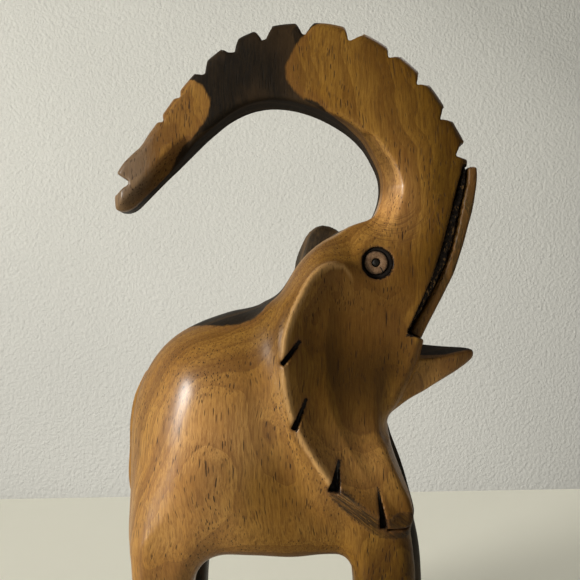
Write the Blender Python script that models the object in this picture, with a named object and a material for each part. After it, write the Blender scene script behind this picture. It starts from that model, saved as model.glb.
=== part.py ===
# Carved wooden elephant with its trunk raised and curled back over its head.
#
# Frame: metres, +Z up, origin at the middle of the footprint on the floor.
# The elephant looks along +X; its right side is -Y and its left side is +Y.
# The animal itself is one block of wood: torso, legs, ears, head, lower jaw
# and trunk.  The two tusk strips are set against the front of the trunk with a
# dark filler in each seam, and each eye is a ring of black filler, a turned
# disc and a pupil, all let into a round seat in the head.
import math

import bmesh
import bpy
import numpy as np

MM = 0.001

# ------------------------------------------------------------------ dimensions
GAP = 0.3                 # clearance between neighbouring pieces, mm
EYE_X, EYE_Z = 27.0, 153.4
EYE_SEAT_R = 5.4          # radius of the round seat bored for each eye
EYE_SEAT_Y = 12.6         # depth plane of the seat's floor
EYE_RING_OUT, EYE_RING_IN = 5.1, 4.2
EYE_DISC_R = 3.9
EYE_PUPIL_HOLE, EYE_PUPIL_R = 1.6, 1.3
TUSK_IN, TUSK_OUT = 3.6, 12.0      # each tusk's inner and outer y
TUSK_THICK = 5.2          # tusk strip, across its length in side view
SEAM = 2.6                # thickness of the dark filler between tusk and trunk
LEG_TOP = 88.0
SOLE_R = 2.0              # rounding of the feet's lower edge

for ob in list(bpy.data.objects):
    bpy.data.objects.remove(ob, do_unlink=True)


# ------------------------------------------------------------------- materials
def material(name, colour, rough, metallic=0.0, coat=0.0):
    m = bpy.data.materials.new(name)
    m.use_nodes = True
    b = m.node_tree.nodes["Principled BSDF"]
    b.inputs["Base Color"].default_value = (*colour, 1.0)
    b.inputs["Roughness"].default_value = rough
    b.inputs["Metallic"].default_value = metallic
    b.inputs["Coat Weight"].default_value = coat
    return m


WOOD = material("carved_wood", (0.42, 0.20, 0.075), 0.42, coat=0.2)
TUSK_WOOD = material("tusk_wood", (0.47, 0.24, 0.10), 0.42, coat=0.2)
PITCH = material("dark_filler", (0.018, 0.013, 0.011), 0.75)
EYE_WOOD = material("eye_wood", (0.55, 0.36, 0.19), 0.45)


# --------------------------------------------------------------------- helpers
def spline(rows, per):
    """Smooth curve through rows of station values (Catmull-Rom), open ended."""
    p = np.asarray(rows, float)
    out = []
    for i in range(len(p) - 1):
        a, b, c, d = p[max(i - 1, 0)], p[i], p[i + 1], p[min(i + 2, len(p) - 1)]
        for k in range(per):
            t = k / per
            out.append(0.5 * (2 * b + (c - a) * t + (2 * a - 5 * b + 4 * c - d) * t * t
                              + (3 * b - a - 3 * c + d) * t ** 3))
    out.append(p[-1])
    return np.array(out)


def se(angle, power):
    """Point of a superellipse: power 2 is an ellipse, higher is squarer."""
    c, s = math.cos(angle), math.sin(angle)
    return (math.copysign(abs(c) ** (2 / power), c), math.copysign(abs(s) ** (2 / power), s))


def rib(ax, az, bx, bz, half, power, yc=0.0, n=28):
    """Cross-section spanning A to B in side view and +-half across Y."""
    mx, mz, hx, hz = (ax + bx) / 2, (az + bz) / 2, (ax - bx) / 2, (az - bz) / 2
    ring = []
    for k in range(n):
        u, v = se(2 * math.pi * (k + 0.5) / n, power)
        ring.append((mx + u * hx, yc + v * half, mz + u * hz))
    return ring


def obj_from_bm(name, bm, mat):
    bmesh.ops.recalc_face_normals(bm, faces=bm.faces)
    me = bpy.data.meshes.new(name)
    bm.to_mesh(me)
    bm.free()
    ob = bpy.data.objects.new(name, me)
    bpy.context.scene.collection.objects.link(ob)
    if mat:
        me.materials.append(mat)
    return ob


def loft(name, rings, mat=None):
    """Skin a list of rings (same count, mm) and close both ends."""
    bm = bmesh.new()
    loops = [[bm.verts.new((x * MM, y * MM, z * MM)) for x, y, z in r] for r in rings]
    n = len(loops[0])
    for a, b in zip(loops[:-1], loops[1:]):
        for i in range(n):
            j = (i + 1) % n
            bm.faces.new((a[i], a[j], b[j], b[i]))
    for lp in (loops[0], loops[-1]):
        c = bm.verts.new(sum((v.co for v in lp), lp[0].co * 0) / n)
        for i in range(n):
            bm.faces.new((lp[i], lp[(i + 1) % n], c))
    return obj_from_bm(name, bm, mat)


def prism(name, outline, y0, y1, mat=None):
    """Extrude a side-view outline (x, z in mm) from y0 to y1."""
    bm = bmesh.new()
    f = bm.faces.new([bm.verts.new((x * MM, y0 * MM, z * MM)) for x, z in outline])
    ext = bmesh.ops.extrude_face_region(bm, geom=[f])
    for v in [g for g in ext["geom"] if isinstance(g, bmesh.types.BMVert)]:
        v.co.y = y1 * MM
    return obj_from_bm(name, bm, mat)


def disc(name, x, z, y0, y1, r, hole=0.0, seg=32, mat=None):
    """Round piece on a Y axis, solid or with a hole."""
    bm = bmesh.new()
    rims = []
    for rr in ([r, hole] if hole else [r]):
        for y in (y0, y1):
            rims.append([bm.verts.new(((x + rr * math.cos(2 * math.pi * k / seg)) * MM, y * MM,
                                       (z + rr * math.sin(2 * math.pi * k / seg)) * MM))
                         for k in range(seg)])
    pairs = [(0, 1), (2, 3), (0, 2), (1, 3)] if hole else [(0, 1)]
    for a, b in pairs:
        for i in range(seg):
            j = (i + 1) % seg
            bm.faces.new((rims[a][i], rims[a][j], rims[b][j], rims[b][i]))
    if not hole:
        bm.faces.new(rims[0])
        bm.faces.new(rims[1])
    return obj_from_bm(name, bm, mat)


def combine(target, others, op):
    """Boolean every other object into the target, then drop the others."""
    for o in others:
        m = target.modifiers.new("b", "BOOLEAN")
        m.operation = op
        m.solver = "EXACT"
        m.object = o
        dg = bpy.context.evaluated_depsgraph_get()
        me = bpy.data.meshes.new_from_object(target.evaluated_get(dg))
        target.modifiers.clear()
        target.data = me
        bpy.data.objects.remove(o, do_unlink=True)
    return target


def tidy(ob, angle=40.0):
    bm = bmesh.new()
    bm.from_mesh(ob.data)
    bmesh.ops.remove_doubles(bm, verts=bm.verts, dist=2e-5)
    bmesh.ops.dissolve_degenerate(bm, edges=bm.edges, dist=1e-5)
    bmesh.ops.triangulate(bm, faces=bm.faces)
    bm.to_mesh(ob.data)
    bm.free()
    ob.data.shade_smooth()
    ob.data.set_sharp_from_angle(angle=math.radians(angle))
    return ob


# ----------------------------------------------------------------------- torso
# Upright ribs from the rump to the chest: x, top z, bottom z, half width.
TORSO = [
    (-57.6, 97.0, 72.0, 8.5),
    (-56.6, 103.5, 64.0, 15.0),
    (-54.4, 113.2, 57.8, 22.0),
    (-49.4, 122.0, 54.0, 27.3),
    (-42.0, 129.0, 53.0, 29.6),
    (-32.0, 134.0, 52.8, 30.6),
    (-21.0, 137.4, 52.4, 30.4),
    (-11.0, 140.2, 52.2, 29.4),
    (-3.0, 146.5, 52.2, 27.5),
    (5.0, 155.0, 52.0, 25.0),
    (13.0, 158.0, 52.0, 22.8),
    (21.0, 148.0, 53.0, 21.6),
    (29.0, 120.0, 55.0, 20.8),
    (34.5, 100.0, 57.0, 19.0),
    (38.6, 86.0, 59.0, 15.5),
    (41.6, 77.0, 62.0, 9.0),
]
torso = loft("carved_body",
             [rib(x, t, x, b, w, 2.7, n=32) for x, t, b, w in spline(TORSO, 2)], WOOD)

# --------------------------------------------------------------- head and trunk
# Ribs from the throat, through the head, round the raised trunk to its tip:
# outer edge (x, z), inner edge (x, z), half width, squareness.
HEAD = [
    (32.0, 102.5, 4.0, 98.0, 13.0, 2.6),
    (36.5, 111.5, 2.0, 114.0, 15.0, 2.8),
    (41.6, 123.5, 0.5, 134.0, 16.0, 3.2),
    (43.6, 133.0, 2.0, 152.0, 16.2, 3.6),
    (46.6, 146.5, 9.0, 162.5, 15.6, 3.8),
    (49.4, 157.0, 17.0, 166.5, 14.8, 3.8),
    (51.6, 166.5, 24.5, 170.0, 13.8, 3.8),
    (54.9, 177.5, 30.2, 177.0, 13.2, 3.8),
    (57.3, 187.5, 30.3, 185.1, 12.9, 3.8),
    (56.2, 197.9, 26.9, 192.7, 12.6, 3.8),
    (50.7, 209.3, 21.5, 199.5, 12.4, 3.8),
    (41.9, 220.2, 14.3, 204.1, 12.1, 3.8),
    (30.1, 229.8, 6.6, 207.4, 11.8, 3.8),
    (16.4, 235.8, -0.5, 209.6, 11.4, 3.8),
    (1.9, 237.9, -7.7, 210.4, 11.0, 3.8),
    (-11.3, 236.1, -14.5, 209.9, 10.5, 3.8),
    (-23.6, 230.7, -21.1, 207.5, 10.0, 3.7),
    (-34.9, 221.9, -28.8, 202.1, 9.4, 3.6),
    (-45.4, 209.3, -37.0, 194.4, 8.7, 3.5),
    (-53.0, 197.8, -45.1, 186.1, 8.0, 3.4),
    (-59.6, 190.9, -52.1, 179.4, 7.3, 3.3),
    (-63.7, 186.1, -58.7, 174.2, 6.7, 3.2),
    (-64.9, 180.9, -63.0, 173.7, 5.8, 3.0),
]
head = loft("head", [rib(r[0], r[1], r[2], r[3], r[4], r[5], n=24) for r in spline(HEAD, 2)])

# ------------------------------------------------------------------ lower jaw
# Ribs from inside the throat to the pointed lip: x, top z, bottom z, half width.
JAW = [
    (27.0, 119.0, 99.0, 10.5),
    (34.0, 122.5, 102.0, 10.8),
    (41.0, 124.6, 106.2, 10.6),
    (49.0, 124.6, 111.2, 9.6),
    (56.0, 124.1, 115.0, 7.6),
    (61.0, 123.6, 118.6, 5.0),
    (63.6, 122.6, 120.6, 2.2),
]
jaw = loft("jaw", [rib(x, t, x, b, w, 3.0, n=20) for x, t, b, w in spline(JAW, 2)])


# ------------------------------------------------------------------------ legs
def leg(name, side, x0, x1, yi, yo, lean, foot):
    """Square-shouldered leg that widens into a flat-soled foot."""
    rings = []
    #        z     grow  lean
    for z, g, k in [(0.0, foot - SOLE_R * 0.6, 0.0), (1.0, foot, 0.0), (6.0, foot, 0.0),
                    (10.0, foot * 0.55, 0.05), (14.0, 0.2, 0.15), (24.0, -0.6, 0.4),
                    (36.0, 0.0, 0.7), (46.0, 1.0, 0.9), (58.0, 1.6, 1.0), (70.0, 1.2, 1.0),
                    (80.0, -2.0, 1.0), (LEG_TOP, -6.0, 1.0)]:
        cx, cy = (x0 + x1) / 2 + lean * k, side * (yi + yo) / 2
        hx, hy = (x1 - x0) / 2 + g, (yo - yi) / 2 + g * 0.45
        ring = []
        for i in range(20):
            u, v = se(2 * math.pi * (i + 0.5) / 20, 3.4)
            ring.append((cx + u * hx, cy + v * hy, z))
        rings.append(ring)
    return loft(name, rings)


legs = [
    leg("fore_r", -1, 18.2, 39.4, 5.6, 24.0, 0.6, 1.4),
    leg("fore_l", 1, 27.5, 48.2, 5.6, 24.0, -2.2, 1.4),
    leg("hind_r", -1, -53.2, -35.4, 5.6, 25.6, -0.2, 1.5),
    leg("hind_l", 1, -52.6, -34.0, 5.6, 25.6, 0.0, 1.5),
]


# ------------------------------------------------------------------------ ears
def ear(name, side, outline, inner_y, grow):
    """Flared ear: a rim standing off the neck, backed by a sloping shoulder."""
    pts = spline(outline + [outline[0]], 2)[:-1]
    cx, cz = pts[:, 0].mean(), pts[:, 1].mean()
    bm = bmesh.new()
    loops = []
    for extra, drop in ((0.0, 0.0), (min(0.7, grow + 0.2), 2.6), (grow, 99.0)):
        lp = []
        for x, z, y in pts:
            dx, dz = x - cx, z - cz
            d = math.hypot(dx, dz) or 1.0
            yy = max(y - drop, inner_y)
            lp.append(bm.verts.new(((x + dx / d * extra) * MM, side * yy * MM,
                                    (z + dz / d * extra) * MM)))
        loops.append(lp)
    n = len(pts)
    for a, b in zip(loops[:-1], loops[1:]):
        for i in range(n):
            j = (i + 1) % n
            bm.faces.new((a[i], a[j], b[j], b[i]))
    mid = bm.verts.new((cx * MM, side * (pts[:, 2].mean() - 1.2) * MM, cz * MM))
    back = bm.verts.new((cx * MM, side * inner_y * MM, cz * MM))
    for i in range(n):
        j = (i + 1) % n
        bm.faces.new((loops[0][i], loops[0][j], mid))
        bm.faces.new((loops[-1][i], loops[-1][j], back))
    return obj_from_bm(name, bm, None)


# x, z, and how far the rim stands out from the middle plane.
EAR_R = [
    (13.7, 151.9, 21.0), (8.5, 151.6, 25.0), (4.1, 147.5, 27.5), (-0.6, 139.5, 29.5),
    (-4.0, 131.0, 30.5), (-4.7, 122.0, 31.0), (-3.9, 113.0, 31.0), (-2.0, 104.5, 30.8),
    (2.0, 95.6, 30.2), (7.4, 87.0, 29.2), (12.6, 80.0, 28.0), (19.5, 74.8, 26.6),
    (26.5, 70.6, 25.2), (33.0, 69.6, 23.0), (37.4, 73.0, 20.8), (33.8, 80.5, 19.6),
    (28.9, 90.8, 18.4), (24.0, 104.0, 17.6), (20.0, 122.0, 17.6), (17.5, 140.0, 18.6),
]
EAR_L = [
    (20.0, 163.0, 19.5), (15.5, 168.6, 21.0), (9.5, 169.6, 24.0), (4.7, 165.0, 26.5),
    (1.4, 158.0, 28.0), (-1.8, 149.5, 29.3), (-3.6, 139.5, 30.0), (-4.2, 129.0, 30.4),
    (-3.6, 118.0, 30.4), (-2.0, 106.0, 30.0), (1.5, 94.0, 29.4), (7.0, 83.0, 28.4),
    (13.0, 75.0, 27.4), (21.0, 68.0, 26.0), (30.0, 62.8, 24.4), (38.5, 60.6, 22.8),
    (45.0, 62.6, 21.4), (42.0, 73.0, 20.6), (38.2, 82.4, 20.0), (33.5, 94.0, 19.2),
    (29.0, 108.0, 18.4), (26.0, 125.0, 18.4), (23.5, 145.0, 18.4),
]
ear_r = ear("ear_r", -1, EAR_R, 8.0, 4.5)
ear_l = ear("ear_l", 1, EAR_L, 8.0, 0.0)

combine(torso, [head, jaw, *legs, ear_r, ear_l], "UNION")


# -------------------------------------------------------------------- cutters
def wedge(name, tip, mouth, width, y0, y1):
    """V-shaped saw notch: a triangle from its tip to its open mouth."""
    t, m = np.array(tip, float), np.array(mouth, float)
    d = (m - t) / np.linalg.norm(m - t)
    nrm = np.array([-d[1], d[0]])
    end = m + d * 2.0
    return prism(name, [tuple(t), tuple(end + nrm * width / 2), tuple(end - nrm * width / 2)], y0, y1)


# Notches sawn across the outer face of the trunk, tip of each V and its mouth.
NOTCHES = [
    ((-45.6, 201.8), (-48.6, 204.2), 4.2), ((-39.2, 210.6), (-42.2, 213.2), 4.6),
    ((-31.0, 218.6), (-34.0, 222.4), 6.0), ((-21.9, 226.4), (-24.0, 231.4), 7.4),
    ((-11.0, 231.2), (-11.9, 236.8), 8.0), ((2.4, 233.0), (2.4, 238.8), 8.2),
    ((17.8, 230.8), (19.8, 236.6), 8.4), ((31.2, 224.8), (34.4, 230.0), 8.2),
    ((41.2, 216.2), (45.6, 220.2), 8.2), ((49.6, 204.4), (55.0, 207.2), 7.8),
    ((54.4, 191.6), (59.6, 193.6), 6.6),
]
cuts = [wedge("notch", a, b, w, -15.0, 15.0) for a, b, w in NOTCHES]
# Mouth of the trunk's tip.
cuts.append(wedge("tip", (-59.8, 182.8), (-66.0, 182.6), 6.6, -12.0, 12.0))
# Black nicks across the ears' rims.
for side in (-1, 1):
    nicks = [((3.0, 127.0), (-5.5, 119.0), 2.2), ((3.0, 108.0), (-4.0, 96.5), 2.2),
             ((13.5, 88.0), (10.0, 77.0), 3.4), ((25.2, 80.0), (27.0, 67.0), 2.8)]
    for (tx, tz), (mx, mz), w in nicks:
        if side > 0:
            tx, tz, mx, mz = tx + 1.0, tz + 3.0, mx + 0.5, mz - 5.0
        cuts.append(wedge("nick", (tx, tz), (mx, mz), w, side * 25.0, side * 36.0))
# Round seats for the eyes.
for side in (-1, 1):
    cuts.append(disc("seat", EYE_X, EYE_Z, side * EYE_SEAT_Y, side * 22.0, EYE_SEAT_R))
# Toe nicks in the front edge of each foot.
for side, x1 in ((-1, 40.1), (1, 48.6), (-1, -35.4), (1, -32.9)):
    for y in (10.0, 15.0, 20.0):
        bm = bmesh.new()
        a = [bm.verts.new(((x1 + dx) * MM, side * (y + dy) * MM, z * MM))
             for z in (-1.0, 8.0) for dx, dy in ((-1.5, 0.0), (2.0, -0.9), (2.0, 0.9))]
        for f in ((0, 1, 2), (3, 4, 5), (0, 1, 4, 3), (1, 2, 5, 4), (2, 0, 3, 5)):
            bm.faces.new([a[i] for i in f])
        cuts.append(obj_from_bm("toe", bm, None))
combine(torso, cuts, "DIFFERENCE")

# ----------------------------------------------------- tusks and their fillers
# Front edge of a tusk in side view, from the jaw up to its point.
TUSK_FRONT = [(42.6, 127.4), (48.2, 138.5), (53.9, 150.0), (57.8, 161.8), (60.6, 172.6),
              (62.0, 181.6), (61.8, 187.0)]


def offset(curve, by):
    """The curve moved back towards the trunk by a set distance."""
    c = np.asarray(curve)
    t = np.gradient(c, axis=0)
    t /= np.linalg.norm(t, axis=1)[:, None]
    return c + np.stack([-t[:, 1], t[:, 0]], 1) * (np.asarray(by) if np.ndim(by) else by)


def strip(name, front, back, y0, y1, mat, power):
    """Long strip between two side-view curves, rounded across."""
    rings = []
    for (fx, fz), (bx, bz) in zip(front, back):
        rings.append(rib(fx, fz, bx, bz, (y1 - y0) / 2, power, yc=(y0 + y1) / 2, n=16))
    return loft(name, rings, mat)


front = spline(TUSK_FRONT, 4)
u = np.linspace(0, 1, len(front))
thick = TUSK_THICK * np.clip(1.12 - 0.30 * u, 0.2, 2)[:, None]
back = offset(front, thick)
seam_front = offset(front, thick + GAP)
seam_back = offset(front, thick + GAP + SEAM * np.clip(1.15 - 0.35 * u, 0.2, 2)[:, None])
# The trunk's front is dressed flat behind each strip, so nothing overlaps.
bed_back = offset(front, thick + 2 * GAP + SEAM * np.clip(1.15 - 0.35 * u, 0.2, 2)[:, None])
beds = []
for side in (-1, 1):
    f = offset(front, -6.0)
    lower = bed_back[0] + (bed_back[0] - bed_back[1]) * 0.22
    flow = f[0] + (f[0] - f[1]) * 0.22
    upper = bed_back[-1] + (bed_back[-1] - bed_back[-2]) * 0.22
    fup = f[-1] + (f[-1] - f[-2]) * 0.22
    line = [tuple(lower)] + [tuple(p) for p in bed_back] + [tuple(upper), tuple(fup)] \
        + [tuple(p) for p in f[::-1]] + [tuple(flow)]
    y0, y1 = sorted((side * (TUSK_IN - GAP), side * (TUSK_OUT + 6.0)))
    beds.append(prism("bed", line, y0, y1))
combine(torso, beds, "DIFFERENCE")
tidy(torso, 38.0)

made = []
for side, tag in ((-1, "right"), (1, "left")):
    y0, y1 = sorted((side * TUSK_IN, side * TUSK_OUT))
    made.append(strip("tusk_" + tag, front, back, y0, y1, TUSK_WOOD, 3.6))
    y0, y1 = sorted((side * (TUSK_IN + 0.5), side * (TUSK_OUT - 1.0)))
    made.append(strip("tusk_seam_filler_" + tag, seam_front[1:-1], seam_back[1:-1], y0, y1, PITCH, 6.0))

    # --------------------------------------------------------------- eyes
    floor = EYE_SEAT_Y + GAP
    made.append(disc("eye_ring_" + tag, EYE_X, EYE_Z, side * floor, side * (floor + 2.4),
                     EYE_RING_OUT, EYE_RING_IN, mat=PITCH))
    made.append(disc("eye_disc_" + tag, EYE_X, EYE_Z, side * floor, side * (floor + 3.0),
                     EYE_DISC_R, EYE_PUPIL_HOLE, mat=EYE_WOOD))
    made.append(disc("eye_pupil_" + tag, EYE_X, EYE_Z, side * floor, side * (floor + 2.7),
                     EYE_PUPIL_R, seg=20, mat=PITCH))
for ob in made:
    tidy(ob)

# ------------------------------------------------- origin at the footprint
corners = np.array([v.co for ob in [torso, *made] for v in ob.data.vertices])
low, high = corners.min(0), corners.max(0)
move = (-(low[0] + high[0]) / 2, -(low[1] + high[1]) / 2, -low[2])
for ob in [torso, *made]:
    for v in ob.data.vertices:
        v.co.x += move[0]
        v.co.y += move[1]
        v.co.z += move[2]
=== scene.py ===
import bpy
import math
import numpy as np
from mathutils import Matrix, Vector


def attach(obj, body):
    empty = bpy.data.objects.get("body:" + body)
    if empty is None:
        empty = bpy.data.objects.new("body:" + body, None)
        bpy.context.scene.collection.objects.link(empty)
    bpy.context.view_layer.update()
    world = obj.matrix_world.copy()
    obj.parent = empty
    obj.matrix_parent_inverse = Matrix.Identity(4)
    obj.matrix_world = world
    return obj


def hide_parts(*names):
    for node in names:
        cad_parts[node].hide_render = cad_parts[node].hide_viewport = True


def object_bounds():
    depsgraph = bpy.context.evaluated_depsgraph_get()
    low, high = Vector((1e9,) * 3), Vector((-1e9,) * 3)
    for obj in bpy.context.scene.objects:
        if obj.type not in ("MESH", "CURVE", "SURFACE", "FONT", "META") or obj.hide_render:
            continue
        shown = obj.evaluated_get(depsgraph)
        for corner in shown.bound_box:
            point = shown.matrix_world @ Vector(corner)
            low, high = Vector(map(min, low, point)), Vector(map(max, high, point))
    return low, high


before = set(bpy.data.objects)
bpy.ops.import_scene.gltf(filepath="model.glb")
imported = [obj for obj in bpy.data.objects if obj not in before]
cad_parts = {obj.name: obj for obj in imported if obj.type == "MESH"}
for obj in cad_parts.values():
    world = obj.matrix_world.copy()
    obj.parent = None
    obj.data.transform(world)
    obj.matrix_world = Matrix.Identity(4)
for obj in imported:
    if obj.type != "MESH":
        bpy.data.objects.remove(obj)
CAD_BOX = [list(v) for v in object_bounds()]

# ---------------------------------------------------------------- camera first
scene = bpy.context.scene
MOVE = np.array([0.609, 0.264, 0.0])  # mm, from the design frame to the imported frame


def metres(V):
    return (np.asarray(V, float) + MOVE) / 1000.0


cam_data = bpy.data.cameras.new("camera")
cam_data.sensor_width = 36.0
cam_data.lens = 38.917
cam_data.clip_start = 0.01
cam_data.clip_end = 20.0
camera = bpy.data.objects.new("camera", cam_data)
camera.location = ((-2.3 + MOVE[0]) / 1000, (-226.0 + MOVE[1]) / 1000, 0.1444)
camera.rotation_euler = (math.radians(90), 0, 0)
scene.collection.objects.link(camera)
scene.camera = camera

# ============================================================ the carved form
# All in millimetres in the design frame: x forward, y left, z up from the soles.
H = 0.6
X0, X1, Y0, Y1, Z0, Z1 = -69.0, 68.4, -34.2, 34.2, -2.4, 242.4


def rom(points, per=8, closed=True):
    """Catmull-Rom through the control points."""
    p = np.asarray(points, float)
    n = len(p)
    out = []
    for i in (range(n) if closed else range(n - 1)):
        if closed:
            a, b, c, d = p[(i - 1) % n], p[i], p[(i + 1) % n], p[(i + 2) % n]
        else:
            a, b, c, d = p[max(i - 1, 0)], p[i], p[i + 1], p[min(i + 2, n - 1)]
        for k in range(per):
            t = k / per
            out.append(0.5 * (2 * b + (c - a) * t + (2 * a - 5 * b + 4 * c - d) * t * t + (3 * b - a - 3 * c + d) * t ** 3))
    if not closed:
        out.append(p[-1])
    return np.array(out)


def seg(px, pz, a, b):
    d = b - a
    t = np.clip(((px - a[0]) * d[0] + (pz - a[1]) * d[1]) / ((d ** 2).sum() + 1e-12), 0, 1)
    return (px - a[0] - t * d[0]) ** 2 + (pz - a[1] - t * d[1]) ** 2


def inside_out(px, pz, poly):
    """Signed distance to a closed outline in side view: negative inside."""
    poly = np.asarray(poly, float)
    best = np.full(px.shape, 1e18)
    ins = np.zeros(px.shape, bool)
    n = len(poly)
    for i in range(n):
        a, b = poly[i], poly[(i + 1) % n]
        best = np.minimum(best, seg(px, pz, a, b))
        c = (a[1] > pz) != (b[1] > pz)
        xi = (b[0] - a[0]) * (pz - a[1]) / (b[1] - a[1] + 1e-30) + a[0]
        ins ^= c & (px < xi)
    return np.where(ins, -1, 1) * np.sqrt(best)


def sheet_through(rows):
    """Thin-plate surface through (x, z, value) rows, as a function of x and z."""
    r = np.asarray(rows, float)
    p, v = r[:, :2] / 50.0, r[:, 2]
    n = len(p)
    q = ((p[:, None] - p[None]) ** 2).sum(2)
    a = np.zeros((n + 3, n + 3))
    a[:n, :n] = np.where(q > 0, 0.5 * q * np.log(q + 1e-12), 0) + 1e-4 * np.eye(n)
    a[:n, n] = 1
    a[:n, n + 1:] = p
    a[n, :n] = 1
    a[n + 1:, :n] = p.T
    w = np.linalg.solve(a, np.concatenate([v, [0, 0, 0]]))

    def f(x, z):
        x, z = x / 50.0, z / 50.0
        out = w[n] + w[n + 1] * x + w[n + 2] * z
        for i in range(n):
            d = (x - p[i, 0]) ** 2 + (z - p[i, 1]) ** 2
            out = out + w[i] * 0.5 * d * np.log(d + 1e-12)
        return out
    return f


def along(x, rows, col=1):
    """Smooth reading of a table: the value of one column at x."""
    c = rom(np.asarray(rows, float)[:, [0, col]], 8, closed=False)
    o = np.argsort(c[:, 0], kind="stable")
    return np.interp(x, c[o, 0], c[o, 1])


def smin(a, b, k):
    h = np.maximum(k - np.abs(a - b), 0) / k
    return np.minimum(a, b) - h * h * k * 0.25


def smax(a, b, k):
    return -smin(-a, -b, k)


def slab(d2, v, t, r, ry):
    """Board of outline d2 and half thickness t, its edge rounded r in side view and ry across."""
    a = d2 + r
    b = (v - (t - ry)) * (r / ry)
    return (np.minimum(np.maximum(a, b), 0) + np.sqrt(np.maximum(a, 0) ** 2 + np.maximum(b, 0) ** 2) - r).astype(np.float32)


# ------------------------------------------------------------------- outlines
# Trunk and head: outer edge from the tip over the arch to the brow, the front
# line down to the mouth, then back inside the throat and neck, and the inner
# edge of the arch back to the tip.
TRUNK = [(-60.2, 172.4), (-63.2, 172.6), (-63.9, 174.6), (-64.1, 179.4), (-63.4, 183.9), (-61.3, 187.6), (-58.2, 191.1), (-54.4, 194.9),
         (-51.7, 199.0), (-48.8, 202.9), (-45.8, 207.1), (-42.4, 211.6), (-38.6, 216.2), (-34.5, 220.7), (-29.8, 225.4),
         (-24.5, 229.4), (-18.4, 232.7), (-11.6, 235.2), (-4.6, 236.6), (3.0, 237.0), (10.6, 236.6), (18.0, 234.6),
         (25.6, 231.4), (32.6, 227.0), (39.3, 221.6), (45.0, 215.3), (50.1, 208.1), (54.3, 200.5), (57.4, 194.0),
         (57.9, 188.2), (56.4, 180.0), (52.4, 166.5), (50.0, 157.0), (46.8, 146.5), (43.8, 134.0), (42.6, 126.6),
         (40.4, 119.0), (36.4, 110.0), (32.4, 103.4), (26.0, 98.0), (14.0, 96.0), (4.0, 104.0), (1.5, 120.0),
         (2.0, 138.0), (3.0, 148.0), (5.8, 154.0), (10.4, 158.8), (15.8, 163.0), (21.2, 166.8), (25.6, 169.0),
         (28.2, 171.8), (30.2, 178.2), (30.1, 184.8), (27.9, 190.9), (24.4, 197.5), (19.5, 202.7), (13.1, 206.8),
         (5.8, 209.9), (-2.0, 211.9), (-9.8, 212.4), (-17.3, 210.8), (-24.2, 207.1), (-30.7, 201.6), (-37.7, 195.0),
         (-44.9, 187.5), (-51.7, 179.9), (-56.8, 174.3)]
TRUNK_T = [(20, 100, 13.6), (32, 105, 12.6), (36, 120, 14.6), (6, 125, 17.0), (22, 130, 16.6), (27, 153, 16.1), (42, 145, 15.2),
           (12, 160, 14.6), (46, 165, 13.9), (28, 167, 14.0), (54, 187, 12.9), (33, 185, 12.4), (45, 208, 12.4), (25, 200, 12.2),
           (10, 224, 11.6), (30, 226, 11.8), (-8, 224, 10.9), (-24, 216, 10.1), (-40, 202, 9.0), (-55, 187, 7.6), (-64, 178, 6.2)]
TRUNK_Y = [(30, 110, 0), (10, 140, 0), (45, 150, 0), (50, 190, 0), (30, 220, 0.2), (0, 224, 0.9), (-22, 217, 1.1), (-42, 200, -0.2),
           (-60, 182, -2.0)]
TORSO = [(-57.6, 60.0), (-58.1, 75.0), (-58.1, 90.0), (-57.4, 100.0), (-55.4, 109.0), (-52.1, 117.0), (-47.5, 123.6),
         (-42.1, 128.5), (-36.1, 132.0), (-29.2, 134.7), (-21.4, 137.2), (-13.8, 138.2), (-9.0, 139.6), (-4.6, 142.4),
         (-1.2, 146.4), (1.6, 150.4), (5.2, 154.4), (9.6, 158.2), (14.0, 161.0), (20.0, 164.0), (28.0, 158.0), (33.0, 142.0),
         (34.0, 122.0), (33.0, 106.0), (32.2, 97.6), (33.0, 90.0), (35.0, 82.0), (36.4, 73.0), (37.2, 64.0), (36.4, 57.0),
         (30.0, 55.0), (20.0, 54.6), (9.0, 54.9), (-2.0, 54.2), (-13.0, 54.8), (-24.0, 55.6), (-36.0, 56.0),
         (-48.0, 54.6), (-54.6, 55.6)]
TORSO_T = [(-56, 85, 25.0), (-50, 115, 24.5), (-50, 62, 26.0), (-42, 85, 30.0), (-38, 120, 28.5), (-30, 62, 28.4), (-28, 90, 31.0), (-16, 90, 28.6),
           (-14, 62, 28.6), (-8, 90, 26.4), (-20, 130, 27.0), (-8, 125, 24.8), (4, 90, 22.6), (4, 62, 25.4), (0, 140, 21.4), (12, 150, 16.6),
           (20, 100, 17.4), (22, 70, 20.6), (34, 80, 17.0), (36, 60, 19.0), (30, 120, 14.2)]
JAW = [(26.0, 122.0), (36.0, 125.6), (42.0, 126.0), (46.5, 125.1), (52.0, 124.5), (58.0, 124.1), (61.8, 123.6), (63.4, 122.4),
       (63.2, 120.6), (61.2, 118.9), (56.4, 115.9), (49.8, 112.1), (44.7, 109.0), (39.9, 106.3), (35.6, 103.2), (31.0, 101.2),
       (25.0, 101.0)]
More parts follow.
